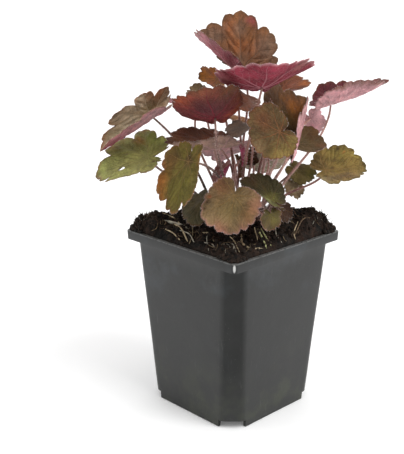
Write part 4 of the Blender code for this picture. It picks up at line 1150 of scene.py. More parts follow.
# name, petiole joint, heading, rise, roll, reach, then what sets the leaf apart
LEAVES = [
    Leaf("leaf_crest", (-2.5, 8, 199.5), 201, 36, 68, 36.5, fold=(100, 1), curl=(6, -11), droop=(12, 10),
         lobes=0.14, stretch=(1.05, 0.97, 1.0, 0.95, 1.0, 0.95, 0.95), foot=(-3, 6), sway=(-7.5, 6.5),
         tint="rust"),
    Leaf("leaf_magenta", (31, -11, 194.5), 323, 29, 2, 24, fold=(30, 15), curl=(-4, 14), droop=(-11, 0),
         broad=1.47, lobes=0.06, stretch=(1.0, 1.0, 0.85, 1.05, 0.9, 1.25, 0.7), sway=(-4.5, -2.5),
         tint="wine"),
    Leaf("leaf_maroon", (12, -27, 178), 303, 33, -12, 30, fold=(35, 22), curl=(31, 27), droop=(-7, 0),
         broad=1.14, lobes=0.06, stretch=(0.8, 1.0, 0.85, 1.05, 0.76, 0.72, 0.95), sway=(5, -8.5),
         tint="wine"),
    Leaf("leaf_left_folded", (-30.5, -35, 174), 239, -31, 17, 35, fold=(38, 104), curl=(4, 8),
         droop=(1, 5), broad=0.89, lobes=0.26, stretch=(1.12, 0.73, 0.8, 1.0, 1.3, 1.1, 0.9),
         tint="dusk"),
    Leaf("leaf_left_level", (0.5, -12, 158), 239, -4, 16, 29, fold=(44, 2), curl=(20, 11),
         droop=(-21, -12), lobes=0.08, stretch=(0.85, 0.95, 1.05, 1.1, 1.0, 0.95, 0.95), sway=(-1, 7),
         tint="dusk"),
    Leaf("leaf_left_green", (-21, -47, 153.5), 230, -12, 29, 30, fold=(23, 3), curl=(12, -16),
         droop=(17, 6), broad=1.06, lobes=0.21, stretch=(1.1, 1.0, 0.95, 1.05, 1.0, 0.8, 0.6),
         tint="moss"),
    Leaf("leaf_left_hanging", (9, -44, 155.5), 276, -63, 5, 31, fold=(27, 0), curl=(21, 22),
         droop=(-4, 4), broad=0.65, lobes=0.15, stretch=(0.85, 1.05, 1.0, 0.95, 1.05, 0.75, 0.85),
         sway=(3.5, 6), tint="copper"),
    Leaf("leaf_centre_face", (48.5, -15.5, 173.5), 236, -19, 53, 17, fold=(11, 14), curl=(24, 3),
         droop=(8, 6), broad=1.28, lobes=0.06, stretch=(0.85, 1.0, 1.05, 0.95, 1.0, 0.95, 1.0),
         foot=(12, 1), sway=(1, -1.5), tint="bronze"),
    Leaf("leaf_centre_tall", (36.5, 8, 160.5), 116, 41, -21, 35, fold=(41, 101), curl=(8, -4),
         droop=(-3, 6), broad=1.14, lobes=0.1, stretch=(0.95, 0.9, 0.8, 1.0, 1.1, 0.85, 0.65),
         tint="bronze"),
    Leaf("leaf_behind_magenta", (3.5, 33.5, 184.5), 33, 23, -31, 20, fold=(4, 37), curl=(-13, 8),
         droop=(19, 4), broad=0.8, stretch=(1.0, 0.95, 0.9, 1.0, 1.0, 0.95, 1.0), tint="rust"),
    Leaf("leaf_right_long", (33, 45.7, 179.5), 44, 16, -7, 32, fold=(-2, 34), curl=(38, 16),
         droop=(-13, -4), broad=1.13, lobes=0.06, stretch=(0.7, 1.0, 1.0, 1.1, 0.95, 1.1, 0.9),
         sway=(6.5, -2.5), tint="wine"),
    Leaf("leaf_right_pink", (15, 50, 168.5), 90, -49, 26, 14, fold=(23, 52), curl=(16, 2), droop=(0, 4),
         broad=0.77, sway=(-9.5, 3.5), tint="pale"),
    Leaf("leaf_right_brown", (30.5, 21, 159), 55, 1, -31, 17, fold=(12, 31), droop=(3, 4), broad=1.05,
         lobes=0.1, tint="bronze"),
    Leaf("leaf_right_green", (37, 38.5, 142), 50, 8, -30, 24, fold=(12, 26), curl=(11, -12), droop=(2, 6),
         lobes=0.1, stretch=(0.65, 0.95, 1.05, 1.0, 1.0, 0.85, 0.8), tint="moss"),
    Leaf("leaf_right_under", (16.5, 35.5, 140), 10, -19, -33, 14, fold=(1, -6), droop=(20, 6), broad=0.71,
         lobes=0.06, stretch=(0.9, 0.85, 1.05, 0.9, 1.15, 0.75, 0.95), sway=(-1, -1.5), tint="deep"),
    Leaf("leaf_right_low", (18.5, 31.5, 132), 343, -48, -10, 10, broad=0.8, tint="pale"),
    Leaf("leaf_front_low", (31, -31, 138.5), 287, -66, 5, 21, fold=(11, 16), curl=(-10, 5), droop=(5, 2),
         lobes=0.05, stretch=(1.1, 0.9, 1.1, 1.0, 1.0, 1.0, 0.65), tint="blush"),
    Leaf("leaf_front_pale", (45, -18, 128), 357, -78, -3, 9, fold=(11, 12), droop=(17, 6), broad=1.09,
         sway=(1, -1.5), tint="pale"),
    Leaf("leaf_front_dark", (38.5, -10, 134), 223, 33, 5, 20, fold=(16, 46), curl=(-14, 19), droop=(4, 4),
         broad=0.85, lobes=0.06, tint="deep"),
    Leaf("leaf_front_shade", (4, -26.5, 131), 285, -30, -3, 19, fold=(11, -8), curl=(-17, 4),
         droop=(23, 6), broad=0.84, stretch=(0.85, 1.1, 1.0, 1.0, 1.15, 1.05, 1.0), tint="deep"),
    Leaf("leaf_dry_curl", (32.5, 3.5, 126.5), 353, -44, 10, 11, fold=(20, 20), broad=0.9,
         sway=(-2.5, -1.5), tint="dry"),
    Leaf("leaf_gold_small", (-23.5, 10, 191), 262, 17, 38, 13, fold=(7, 9), droop=(14, 6), sway=(10, 0),
         tint="gold"),
    Leaf("leaf_mid_brown", (6, 12.5, 180), 279, 8, 18, 20, fold=(19, 9), droop=(18, 6), broad=1.24,
         sway=(9.5, 3.5), tint="bronze"),
    Leaf("leaf_mid_shade", (5, 7.5, 167.5), 267, -7, 0, 15, fold=(16, 9), droop=(20, 6), lobes=0.06,
         tint="deep"),
    Leaf("leaf_behind_maroon", (-11, -11, 183), 246, 22, 40, 13, sway=(-10, 8.5), tint="dusk"),
    Leaf("leaf_young_magenta", (8, -1, 150), 224, 86, 0, 9, fold=(62, 62), broad=0.8, tint="young"),
    Leaf("leaf_young_pink", (2.5, -11.5, 139), 71, 69, 0, 12, fold=(62, 66), broad=0.8, tint="young"),
    Leaf("leaf_young_green", (-1, 5.5, 141), 224, 86, 0, 10, fold=(60, 64), broad=0.8, tint="bronze"),
    Leaf("leaf_young_dark", (2, 13.5, 146.5), 120, 74, 0, 8, fold=(60, 60), broad=0.8, sway=(3, 0),
         tint="deep"),
    Leaf("leaf_back_pink", (-20, 18, 151), 155, -30, 0, 22, tint="pale"),
    Leaf("leaf_back_grey", (-9.5, 40.5, 141.5), 145, -35, 0, 20, tint="pale"),
    Leaf("leaf_back_centre", (-12, 40, 160), 150, 12, 0, 27, fold=(14, 10), droop=(20, 8),
         sway=(7.5, -6.5), tint="bronze"),
    Leaf("leaf_back_left", (-34, 3, 170.5), 177, 17, -18, 27, fold=(10, 14), droop=(18, 8),
         sway=(-2.5, -1.5), tint="dusk"),
    Leaf("leaf_back_high", (-13, 18.5, 201), 133, 22, -15, 23.5, fold=(16, 16), droop=(16, 8), sway=(0, 3),
         tint="rust"),
]

print("leaves", len(LEAVES))

# %% [markdown]
# A heuchera leaf has seven rounded lobes with three blunt teeth each. The margin follows from a table of distances
# by angle, pinched between the lobes and again between the teeth. A little noise keeps any two teeth from matching.

# %% The margin
LOBE_BOUNDS = (24.0, 72.0, 118.0, 160.0)
LOBE_CENTRES = (-139.0, -95.0, -48.0, 0.0, 48.0, 95.0, 139.0)
OUTLINE_ANGLES = (0, 30, 60, 90, 120, 145, 160, 170, 176, 180)
OUTLINE_SHARES = (1.0, 0.97, 0.88, 0.77, 0.63, 0.51, 0.43, 0.31, 0.17, 0.10)
TOOTH_DEPTH = 0.05
TOOTH_POINT = 0.014
MARGIN_NOISE = 0.012


def leaf_axes(leaf):
    """The tip direction, the leftward direction and the upper face's normal, as unit vectors."""
    a, r, o = (math.radians(x) for x in (leaf.heading, leaf.rise, leaf.roll))
    tip = np.array([math.cos(r) * math.cos(a), math.cos(r) * math.sin(a), math.sin(r)])
    up = np.array([-math.sin(r) * math.cos(a), -math.sin(r) * math.sin(a), math.cos(r)])
    left = np.cross(up, tip)
    normal = up * math.cos(o) + left * math.sin(o)
    return tip, np.cross(normal, tip), normal


def outline_share(leaf, angle):
    """The margin's distance from the stalk, as a share of reach: lobes, rounded teeth and their small points."""
    signed = (np.asarray(angle, float) + 180.0) % 360.0 - 180.0
    a = np.abs(signed)
    share = np.interp(a, OUTLINE_ANGLES, OUTLINE_SHARES) * np.interp(signed, LOBE_CENTRES, leaf.stretch)
    bounds = np.array((-LOBE_BOUNDS[0],) + LOBE_BOUNDS)
    k = np.clip(np.searchsorted(bounds, a, side="right") - 1, 0, len(bounds) - 2)
    across = 2.0 * (a - bounds[k]) / (bounds[k + 1] - bounds[k]) - 1.0
    inside = a < LOBE_BOUNDS[-1]
    share = share * (1.0 - leaf.lobes * inside * np.abs(across) ** 3)
    tooth = (across * 1.5 + 0.5) % 1.0 * 2.0 - 1.0
    spots = np.stack([signed / 11.0, np.full_like(signed, leaf.reach), np.full_like(signed, leaf.heading)], axis=-1)
    depth = TOOTH_DEPTH * (1.0 + 0.5 * lumps(spots, 1.0, 61))
    share = share * (1.0 - depth * inside * np.abs(tooth) ** 2.6)
    share = share * (1.0 + TOOTH_POINT * inside * np.clip(1.0 - np.abs(tooth) * 5.0, 0.0, 1.0))
    return share * (1.0 + MARGIN_NOISE * lumps(spots * 2.3, 1.0, 62))


print("first leaf's tip at", round(float(outline_share(LEAVES[0], 0.0)), 3), "of its reach")

# %% [markdown]
# Bending must not stretch the blade, so a point goes its full distance along a strip that turns on the way. The
# halves are folded up and curled first, and the whole is then drooped along its length.

# %% Bending a blade
FOLD_SPAN = 5.0
# where curl and droop start, and how far they take, as shares of half width and of reach
CURL = (0.45, 0.4)
DROOP = (0.12, 0.75)
RIPPLES = 5.0
WALK_STEPS = 240


def walk(distance, turns):
    """Goes that far along a strip that turns by each (start, span, angle), and gives run, lift and slope."""
    grid = np.linspace(0.0, max(float(np.max(distance)), 1e-6), WALK_STEPS)
    slope = sum(math.radians(angle) * np.clip((grid - start) / span, 0.0, 1.0) for start, span, angle in turns)
    step = np.diff(grid)
    middle = (slope[1:] + slope[:-1]) / 2.0
    run = np.concatenate([[0.0], np.cumsum(np.cos(middle) * step)])
    lift = np.concatenate([[0.0], np.cumsum(np.sin(middle) * step)])
    return tuple(np.interp(distance, grid, values) for values in (run, lift, slope))


def blade_points(leaf, angle, share, raised=0.0):
    """Points of the blade, in millimetres, by angle from the tip, share of the way out and height above its middle."""
    angle = np.asarray(angle, float)
    share = np.asarray(share, float)
    radius = leaf.reach * outline_share(leaf, angle) * share
    x = radius * np.cos(np.radians(angle))
    y = radius * np.sin(np.radians(angle)) * leaf.broad
    height = leaf.ripple * share ** 3 * np.sin(np.radians(angle) * RIPPLES + leaf.heading) + raised
    side = np.zeros_like(x)
    rise = np.zeros_like(x)
    half = leaf.reach * leaf.broad * 0.9
    for sign, fold, curl in ((1, leaf.fold[0], leaf.curl[0]), (-1, leaf.fold[1], leaf.curl[1])):
        mine = (y * sign >= 0)
        run, lift, slope = walk(np.abs(y), [(0.0, FOLD_SPAN, fold), (half * CURL[0], half * CURL[1], curl)])
        side = np.where(mine, sign * (run - height * np.sin(slope)), side)
        rise = np.where(mine, lift + height * np.cos(slope), rise)
    along = np.zeros_like(x)
    over = np.zeros_like(x)
    for sign, droop in ((1, leaf.droop[0]), (-1, leaf.droop[1])):
        mine = (x * sign >= 0)
        run, lift, slope = walk(np.abs(x), [(leaf.reach * DROOP[0], leaf.reach * DROOP[1], -droop)])
        along = np.where(mine, sign * (run - rise * np.sin(slope)), along)
        over = np.where(mine, lift + rise * np.cos(slope), over)
    tip, left, normal = leaf_axes(leaf)
    return leaf.base + along[..., None] * tip + side[..., None] * left + over[..., None] * normal


print("first leaf's tip is at", np.round(blade_points(LEAVES[0], np.zeros(1), np.ones(1))[0], 1))

# %% [markdown]
# Every stalk leaves the crown on the side that its blade is on, and no two share a place: feet that are too close
# push each other apart. From there a smooth curve carries the stalk up, out and in under its blade.

# %% Stalk feet and paths
FOOT_SPACING = 3.6
FOOT_PULL = 0.24
HOLE_DEPTH = 9.0
FOOT_RADIUS = 0.95
TOP_RADIUS = 0.7
SPREADING_STEPS = 200
FEET_MIDDLE = np.array([3.0, 3.0])
START_LEAN = 0.55
START_PULL = 0.35
END_PULL = 0.28


def plant_feet():
    """Where each stalk leaves the crown: near the middle, towards its blade, and apart from the others."""
    feet = np.array([leaf.foot if leaf.foot else FEET_MIDDLE + FOOT_PULL * (leaf.base[:2] - FEET_MIDDLE)
                     for leaf in LEAVES], dtype=float)
    for _ in range(SPREADING_STEPS):
        for i in range(len(feet)):
            for j in range(i):
                apart = feet[i] - feet[j]
                distance = max(float(np.hypot(*apart)), 1e-3)
                if distance < FOOT_SPACING:
                    push = apart / distance * (FOOT_SPACING - distance) / 2.0
                    if distance < 1e-2:
                        push = np.array([0.5, 0.3])
                    feet[i] += push * (0.0 if LEAVES[i].foot else 1.0)
                    feet[j] -= push * (0.0 if LEAVES[j].foot else 1.0)
    return feet


def stalk_path(leaf, foot, steps):
    """Points from the foot of the leaf's stalk, down in the peat, up to the blade."""
    tip, _, normal = leaf_axes(leaf)
    bottom = np.array([foot[0], foot[1], float(soil_height(foot[0], foot[1])) - HOLE_DEPTH])
    top = leaf.base - normal * (TOP_RADIUS + 0.1)
    lean = top - bottom
    length = float(np.linalg.norm(lean))
    start = unit(np.array([0.0, 0.0, 1.0]) + START_LEAN * np.array([lean[0], lean[1], 0.0]) / length)
    arrive = unit(0.8 * normal + 0.45 * tip + np.array([0.0, 0.0, 0.25]))
    mouth = bottom + start * (HOLE_DEPTH + 2.0)
    sway = np.array([leaf.sway[0], leaf.sway[1], 0.0])
    one = mouth + start * length * START_PULL + sway
    two = top - arrive * length * END_PULL + sway
    t = np.linspace(0.0, 1.0, steps)[:, None]
    rising = (1 - t) ** 3 * mouth + 3 * t * (1 - t) ** 2 * one + 3 * t * t * (1 - t) * two + t ** 3 * top
    return np.vstack([bottom, bottom + (mouth - bottom) * 0.5, rising])


feet = plant_feet()
print("first foot", np.round(feet[0], 2))

# %% [markdown]
# ## Leaf colours
# No two leaves on the plant match. Young ones are wine red, older ones rust, bronze or olive, and the lower faces
# run from crimson to pale pink. Each leaf has a colour for its upper face, lower face, rim and ribs. Soft patches
# are then laid on it: a place on the leaf in shares of its reach, a size, a colour and a strength.

# %% Paint box
PAINT = {
    "rust": (0.265, 0.105, 0.038), "orange": (0.46, 0.145, 0.042), "taupe": (0.25, 0.155, 0.105),
    "rose_grey": (0.40, 0.195, 0.17), "pale_pink": (0.72, 0.40, 0.42), "pink": (0.50, 0.19, 0.22),
    "crimson": (0.38, 0.045, 0.080), "wine": (0.23, 0.025, 0.042), "deep_wine": (0.12, 0.018, 0.024),
    "plum": (0.075, 0.022, 0.028), "maroon": (0.19, 0.036, 0.034), "flame": (0.45, 0.10, 0.035),
    "copper": (0.32, 0.105, 0.018), "olive": (0.145, 0.115, 0.022), "moss": (0.20, 0.185, 0.035),
    "green": (0.20, 0.245, 0.035), "sage": (0.31, 0.27, 0.16), "straw_green": (0.37, 0.34, 0.12),
    "ochre": (0.28, 0.20, 0.055), "tan": (0.33, 0.20, 0.070), "brown": (0.14, 0.062, 0.020),
    "red_brown": (0.17, 0.050, 0.022), "dark_brown": (0.042, 0.017, 0.008), "umber": (0.095, 0.042, 0.018),
    "drab": (0.125, 0.085, 0.034), "deep_green": (0.058, 0.050, 0.018), "blush": (0.33, 0.125, 0.085),
    "sand": (0.25, 0.165, 0.080), "gold": (0.55, 0.24, 0.045), "yellow": (0.55, 0.44, 0.10),
    "stem": (0.24, 0.11, 0.085), "stem_pink": (0.48, 0.28, 0.24), "stem_dark": (0.11, 0.060, 0.048),
    "pale_sage": (0.50, 0.38, 0.26), "meadow": (0.34, 0.35, 0.105), "bark_olive": (0.115, 0.075, 0.028),
    "magenta": (0.46, 0.050, 0.140), "silver_sage": (0.74, 0.62, 0.46),
    "rose_sand": (0.43, 0.275, 0.21), "dull_sage": (0.24, 0.20, 0.07), "pale_sand": (0.34, 0.24, 0.13),
    "shade_green": (0.082, 0.072, 0.032),
}
PAINT = {name: np.array(colour) for name, colour in PAINT.items()}

# Leaf: upper face, lower face, rim, upper veins, lower ribs and stalk, then the patches on the upper face and those
# on the lower one, each as x, y, radius, colour and strength
LOOKS = {
    "leaf_crest": ("rust", "pink", "brown", "taupe", "pale_pink", "stem",
        ((0.58, -0.36, 0.17, "orange", 0.8), (0.27, -0.25, 0.17, "orange", 0.7), (0.05, -0.34, 0.14, "orange", 0.8),
         (0.66, -0.12, 0.2, "taupe", 0.8), (0.42, -0.46, 0.15, "taupe", 0.7), (-0.12, -0.5, 0.25, "taupe", 0.75),
         (0.36, -0.72, 0.11, "crimson", 0.6), (0.1, -0.1, 0.15, "taupe", 0.6)),
        ((0.05, 0.5, 0.3, "wine", 0.8), (0.5, 0.3, 0.25, "crimson", 0.6), (0.9, 0.2, 0.35, "pale_pink", 0.8))),
    "leaf_magenta": ("plum", "wine", "pale_pink", "rust", "pink", "stem", (),
        ((0.4, -0.3, 0.3, "wine", 0.6), (0.3, 0.72, 0.2, "rose_grey", 0.7), (-0.05, -0.7, 0.2, "pink", 0.9),
         (0.75, 0.15, 0.28, "crimson", 0.7), (0.6, -0.5, 0.25, "crimson", 0.7))),
    "leaf_maroon": ("rust", "maroon", "umber", "rust", "wine", "stem_dark", (),
        ((0.3, 0.85, 0.3, "brown", 0.9), (-0.1, 0.7, 0.25, "brown", 0.8), (0.62, -0.5, 0.3, "flame", 0.85),
         (0.3, -0.8, 0.2, "flame", 0.6), (0.95, -0.1, 0.25, "rust", 0.6), (0.6, 0.4, 0.32, "brown", 0.85),
         (0.05, 0.6, 0.3, "red_brown", 0.8), (0.34, -0.08, 0.36, "plum", 0.85), (-0.3, 0.25, 0.2, "flame", 0.6))),
    "leaf_left_folded": ("pale_sage", "pink", "rust", "silver_sage", "pale_pink", "stem_dark",
        ((0.15, -0.4, 0.22, "silver_sage", 0.95), (0.45, -0.2, 0.22, "silver_sage", 0.9),
         (-0.25, -0.42, 0.3, "rust", 0.9), (0.05, -0.8, 0.14, "flame", 0.7), (0.9, -0.35, 0.3, "rust", 0.9),
         (-0.4, -0.6, 0.2, "flame", 0.8), (0.5, -0.62, 0.16, "red_brown", 0.6), (1.0, -0.1, 0.14, "red_brown", 0.7),
         (-0.05, -0.2, 0.14, "olive", 0.45), (0.65, -0.12, 0.16, "sage", 0.6)),
        ((0.1, 0.5, 0.45, "pale_pink", 0.9), (0.95, 0.3, 0.34, "magenta", 0.65))),
    "leaf_left_level": ("red_brown", "rose_sand", "umber", "red_brown", "pale_pink", "stem",
        ((0.39, -0.54, 0.3, "dark_brown", 0.75), (0.85, -0.2, 0.25, "brown", 0.8), (0.1, -0.1, 0.2, "drab", 0.7),
         (0.0, -0.5, 0.25, "red_brown", 0.5)), ()),
    "leaf_left_green": ("meadow", "sage", "red_brown", "straw_green", "sage", "stem_dark",
        ((-0.21, -0.5, 0.24, "green", 0.7), (0.1, -0.42, 0.2, "olive", 0.6), (0.16, 0.55, 0.3, "straw_green", 0.85),
         (0.55, 0.1, 0.25, "straw_green", 0.6), (0.2, 0.1, 0.25, "straw_green", 0.5),
         (1.0, 0.15, 0.1, "rose_grey", 0.7), (0.36, -0.8, 0.14, "rust", 0.85), (-0.05, -0.82, 0.14, "rust", 0.85),
         (0.08, -0.45, 0.1, "gold", 0.55), (0.17, -0.75, 0.08, "red_brown", 0.7), (-0.12, 0.19, 0.07, "umber", 0.85),
         (0.62, -0.55, 0.12, "rust", 0.5)), ()),
    "leaf_left_hanging": ("olive", "sage", "rust", "tan", "sage", "stem_dark",
        ((0.45, -0.66, 0.22, "copper", 0.95), (0.18, -0.8, 0.16, "rust", 0.9), (0.72, -0.5, 0.16, "copper", 0.7),
         (0.0, 0.1, 0.06, "dark_brown", 0.9), (0.0, -0.5, 0.22, "brown", 0.7), (0.45, 0.15, 0.4, "moss", 0.5),
         (-0.1, 0.5, 0.2, "copper", 0.4), (-0.02, 0.0, 0.1, "dark_brown", 0.9), (0.95, -0.1, 0.25, "olive", 0.6)), ()),
    "leaf_centre_face": ("bark_olive", "blush", "red_brown", "rust", "pale_pink", "stem_pink",
        ((-0.15, 0.05, 0.2, "dark_brown", 0.85), (0.4, 0.6, 0.3, "ochre", 0.8), (0.0, 0.6, 0.28, "ochre", 0.8),
         (0.85, 0.2, 0.25, "sand", 0.7), (0.35, -0.45, 0.3, "red_brown", 0.6), (-0.3, 0.35, 0.2, "ochre", 0.6)), ()),
    "leaf_centre_tall": ("umber", "pale_pink", "brown", "brown", "pink", "stem_pink",
        ((0.72, 0.08, 0.25, "copper", 0.8), (0.95, 0.0, 0.15, "rust", 0.7), (0.4, 0.2, 0.2, "olive", 0.4)),
        ((0.3, -0.5, 0.4, "rose_grey", 0.4),)),
    "leaf_behind_magenta": ("red_brown", "pink", "taupe", "orange", "pale_pink", "stem",
        ((0.5, 0.1, 0.25, "blush", 0.7), (0.85, 0.1, 0.2, "orange", 0.8)), ()),
    "leaf_right_long": ("deep_wine", "pale_pink", "red_brown", "wine", "pale_pink", "stem_pink",
        ((0.9, 0.1, 0.25, "rose_grey", 0.5),),
        ((0.65, -0.3, 0.3, "pink", 0.4), (0.1, -0.5, 0.3, "pink", 0.4), (0.28, -0.76, 0.12, "brown", 0.85),
         (0.47, -0.66, 0.09, "red_brown", 0.8), (0.62, -0.58, 0.09, "brown", 0.8),
         (0.78, -0.46, 0.085, "red_brown", 0.8), (0.92, -0.33, 0.08, "brown", 0.8),
         (1.04, -0.14, 0.07, "dark_brown", 0.8), (0.05, -0.86, 0.12, "red_brown", 0.85))),
    "leaf_right_pink": ("brown", "pale_pink", "crimson", "brown", "pale_pink", "stem_pink", (),
        ((0.5, 0.1, 0.25, "pink", 0.7), (0.6, -0.4, 0.2, "rose_grey", 0.5))),
    "leaf_right_brown": ("drab", "pale_pink", "brown", "sand", "pale_pink", "stem",
        ((0.6, 0.4, 0.3, "brown", 0.7), (0.85, -0.1, 0.25, "red_brown", 0.5)), ()),
    "leaf_right_green": ("ochre", "sage", "olive", "tan", "sage", "stem",
        ((0.45, 0.5, 0.3, "moss", 0.55), (-0.05, -0.5, 0.28, "sage", 0.6), (0.45, -0.5, 0.3, "sand", 0.6),
         (-0.2, 0.3, 0.3, "drab", 0.7), (0.41, 0.6, 0.055, "dark_brown", 0.9), (0.18, 0.05, 0.05, "dark_brown", 0.9),
         (-0.05, -0.27, 0.05, "dark_brown", 0.9), (0.84, 0.31, 0.1, "yellow", 0.8), (0.84, 0.31, 0.045, "olive", 0.9),
         (1.0, 0.03, 0.08, "dark_brown", 0.95), (0.55, 0.45, 0.035, "orange", 0.6), (0.3, 0.3, 0.03, "umber", 0.6)),
        ()),
    "leaf_right_under": ("dull_sage", "sage", "deep_green", "olive", "sage", "stem",
        ((0.6, 0.35, 0.3, "moss", 0.7), (0.1, 0.3, 0.25, "drab", 0.7)), ()),
    "leaf_right_low": ("pale_sand", "sage", "drab", "sage", "sage", "stem", (), ()),
    "leaf_front_low": ("sand", "blush", "rose_grey", "tan", "pink", "stem_dark",
        ((0.9, -0.2, 0.24, "blush", 0.7), (0.85, 0.45, 0.22, "blush", 0.6), (0.4, 0.5, 0.25, "rust", 0.5),
         (-0.2, -0.4, 0.3, "red_brown", 0.7), (0.35, 0.0, 0.4, "olive", 0.4), (0.1, 0.7, 0.25, "blush", 0.6),
         (0.3, -0.66, 0.07, "dark_brown", 0.9), (0.48, -0.68, 0.06, "dark_brown", 0.85),
         (0.16, -0.66, 0.05, "flame", 0.8)), ()),
    "leaf_front_pale": ("bark_olive", "blush", "blush", "olive", "pale_pink", "stem",
        ((-0.2, -0.1, 0.4, "deep_green", 0.7), (0.4, 0.3, 0.3, "moss", 0.4)), ()),
    "leaf_front_dark": ("deep_green", "drab", "umber", "drab", "sage", "stem_dark",
        ((-0.05, 0.0, 0.22, "moss", 0.9), (0.2, 0.5, 0.3, "meadow", 0.7), (0.7, -0.3, 0.3, "umber", 0.6)), ()),
    "leaf_front_shade": ("shade_green", "drab", "umber", "drab", "sage", "stem_dark",
        ((0.3, -0.3, 0.3, "drab", 0.4),), ()),
    "leaf_dry_curl": ("dark_brown", "brown", "dark_brown", "brown", "sand", "stem_dark", (), ()),
    "leaf_gold_small": ("gold", "blush", "umber", "rust", "pink", "stem",
        ((1.0, -0.15, 0.15, "dark_brown", 0.9), (0.2, -0.8, 0.12, "dark_brown", 0.85), (0.65, 0.5, 0.2, "pink", 0.5),
         (0.4, 0.3, 0.25, "orange", 0.8), (0.2, -0.3, 0.25, "orange", 0.6)), ()),
    "leaf_mid_brown": ("red_brown", "red_brown", "brown", "brown", "red_brown", "stem_pink", (), ()),
    "leaf_mid_shade": ("taupe", "rose_grey", "dark_brown", "drab", "pink", "stem_pink", (), ()),
    "leaf_behind_maroon": ("sand", "rose_grey", "brown", "sage", "pink", "stem_pink", (), ()),
    "leaf_young_magenta": ("pink", "magenta", "crimson", "pink", "pink", "stem_pink", (), ()),
    "leaf_young_pink": ("rose_grey", "magenta", "crimson", "pink", "pink", "stem_pink", (), ()),
    "leaf_young_green": ("drab", "brown", "red_brown", "olive", "rose_grey", "stem_pink", (), ()),
    "leaf_young_dark": ("umber", "drab", "red_brown", "drab", "rose_grey", "stem_pink", (), ()),
    "leaf_back_pink": ("rust", "pale_pink", "brown", "taupe", "pale_pink", "stem_pink", (),
        ((0.4, 0.3, 0.4, "rose_grey", 0.5),)),
    "leaf_back_grey": ("drab", "sage", "brown", "sand", "pale_pink", "stem_pink", (), ()),
    "leaf_back_centre": ("brown", "rose_grey", "red_brown", "tan", "pale_pink", "stem",
        ((0.5, 0.4, 0.35, "copper", 0.6), (0.4, -0.4, 0.3, "olive", 0.6)), ()),
    "leaf_back_left": ("taupe", "pink", "red_brown", "sage", "pale_pink", "stem",
        ((0.4, 0.3, 0.35, "sage", 0.6), (0.6, -0.4, 0.3, "brown", 0.6)), ()),
    "leaf_back_high": ("rust", "pink", "brown", "taupe", "pale_pink", "stem",
        ((0.5, 0.3, 0.3, "orange", 0.6), (0.3, -0.4, 0.3, "taupe", 0.6)), ()),
}
print("looks for", len(LOOKS), "leaves")

# %% [markdown]
# ## Building one leaf
# The blade is a polar grid: columns run out from the stalk, closer together where teeth need them, and rings go
# round. Two such grids, a fraction of a millimetre apart, make the upper and lower face. Domes between the veins
# lift both, so that the blade puckers as the real one does. Ribs are tapered tubes half sunk in the lower face.

# %% Blade grid
COLUMNS_PER_LOBE = 24
SMALL_COLUMNS_PER_LOBE = 12
SMALL_REACH = 16.0
RINGS = (0.05, 0.1, 0.16, 0.22, 0.29, 0.36, 0.43, 0.5, 0.57, 0.64, 0.71, 0.77, 0.83, 0.88, 0.92, 0.955, 0.98, 1.0)
SMALL_RINGS = (0.08, 0.18, 0.3, 0.42, 0.54, 0.66, 0.77, 0.87, 0.94, 0.98, 1.0)
CLEFT_ANGLES = (164.0, 168.0, 172.0, 176.0)
THICK = 0.4
THIN = 0.22
PUCKER = 1.0
# how far apart two leaves lie in the pattern's third direction, so that no two share a pattern
PLANE_STEP = 7.3
# patches up to this radius keep a clean round edge, and how steeply a patch fades
CLEAN_PATCH = 0.08
PATCH_EDGE = 2.4


def column_angles(per_lobe):
    """The columns' angles, from just after -180 to 180 degrees."""
    half = []
    bounds = (0.0,) + LOBE_BOUNDS
    for low, high in zip(bounds, bounds[1:]):
        count = per_lobe // 2 if low == 0.0 else per_lobe
        half += [low + (high - low) * step / count for step in range(1, count + 1)]
    half += list(CLEFT_ANGLES)
    return np.array([-a for a in reversed(half)] + [0.0] + half + [180.0])


def vein_gaps(x, y, reach):
    """How far each place is from its main vein and its side vein, in millimetres, as in the vein group."""
    turn = np.arctan2(y, x)
    lobe = np.clip(np.round(turn / LOBE_STEP), -3, 3)
    off = turn - lobe * LOBE_STEP
    out = np.hypot(x, y)
    aside, along = np.abs(out * np.sin(off)), out * np.cos(off)
    spacing = SIDE_VEIN_SPACING * reach
    phase = (along - aside * SIDE_VEIN_LEAN) / spacing + 0.25 * np.sign(off)
    return aside, np.abs((phase + 0.5) % 1.0 - 0.5) * spacing * SIDE_VEIN_NARROWING


def flat_place(leaf, angle, share):
    """The place on the flattened leaf, in millimetres, warped a little so that no vein is ruled straight."""
    radius = leaf.reach * outline_share(leaf, angle) * share
    x, y = radius * np.cos(np.radians(angle)), radius * np.sin(np.radians(angle))
    wave = leaf.heading * 0.37
    return (x + 0.7 * np.sin(y * 0.33 + wave) * share, y + 0.8 * np.sin(x * 0.29 + wave * 1.7) * share)


def pucker_height(leaf, x, y, share):
    """How far the blade domes up between its veins."""
    aside, apart = vein_gaps(x, y, leaf.reach)
    dome = (1.0 - np.exp(-(aside / 1.5) ** 2)) * (1.0 - np.exp(-(apart / 1.1) ** 2))
    envelope = np.interp(share, (0.0, 0.15, 0.4, 0.85, 1.0), (0.0, 0.35, 1.0, 0.9, 0.35))
    scale = min(1.0, leaf.reach / 30.0)
    spots = np.stack([x, y, np.full_like(x, leaf.reach + leaf.heading)], axis=-1)
    return PUCKER * scale * envelope * (dome - 0.5 + 0.35 * lumps(spots, 3.5, 71))


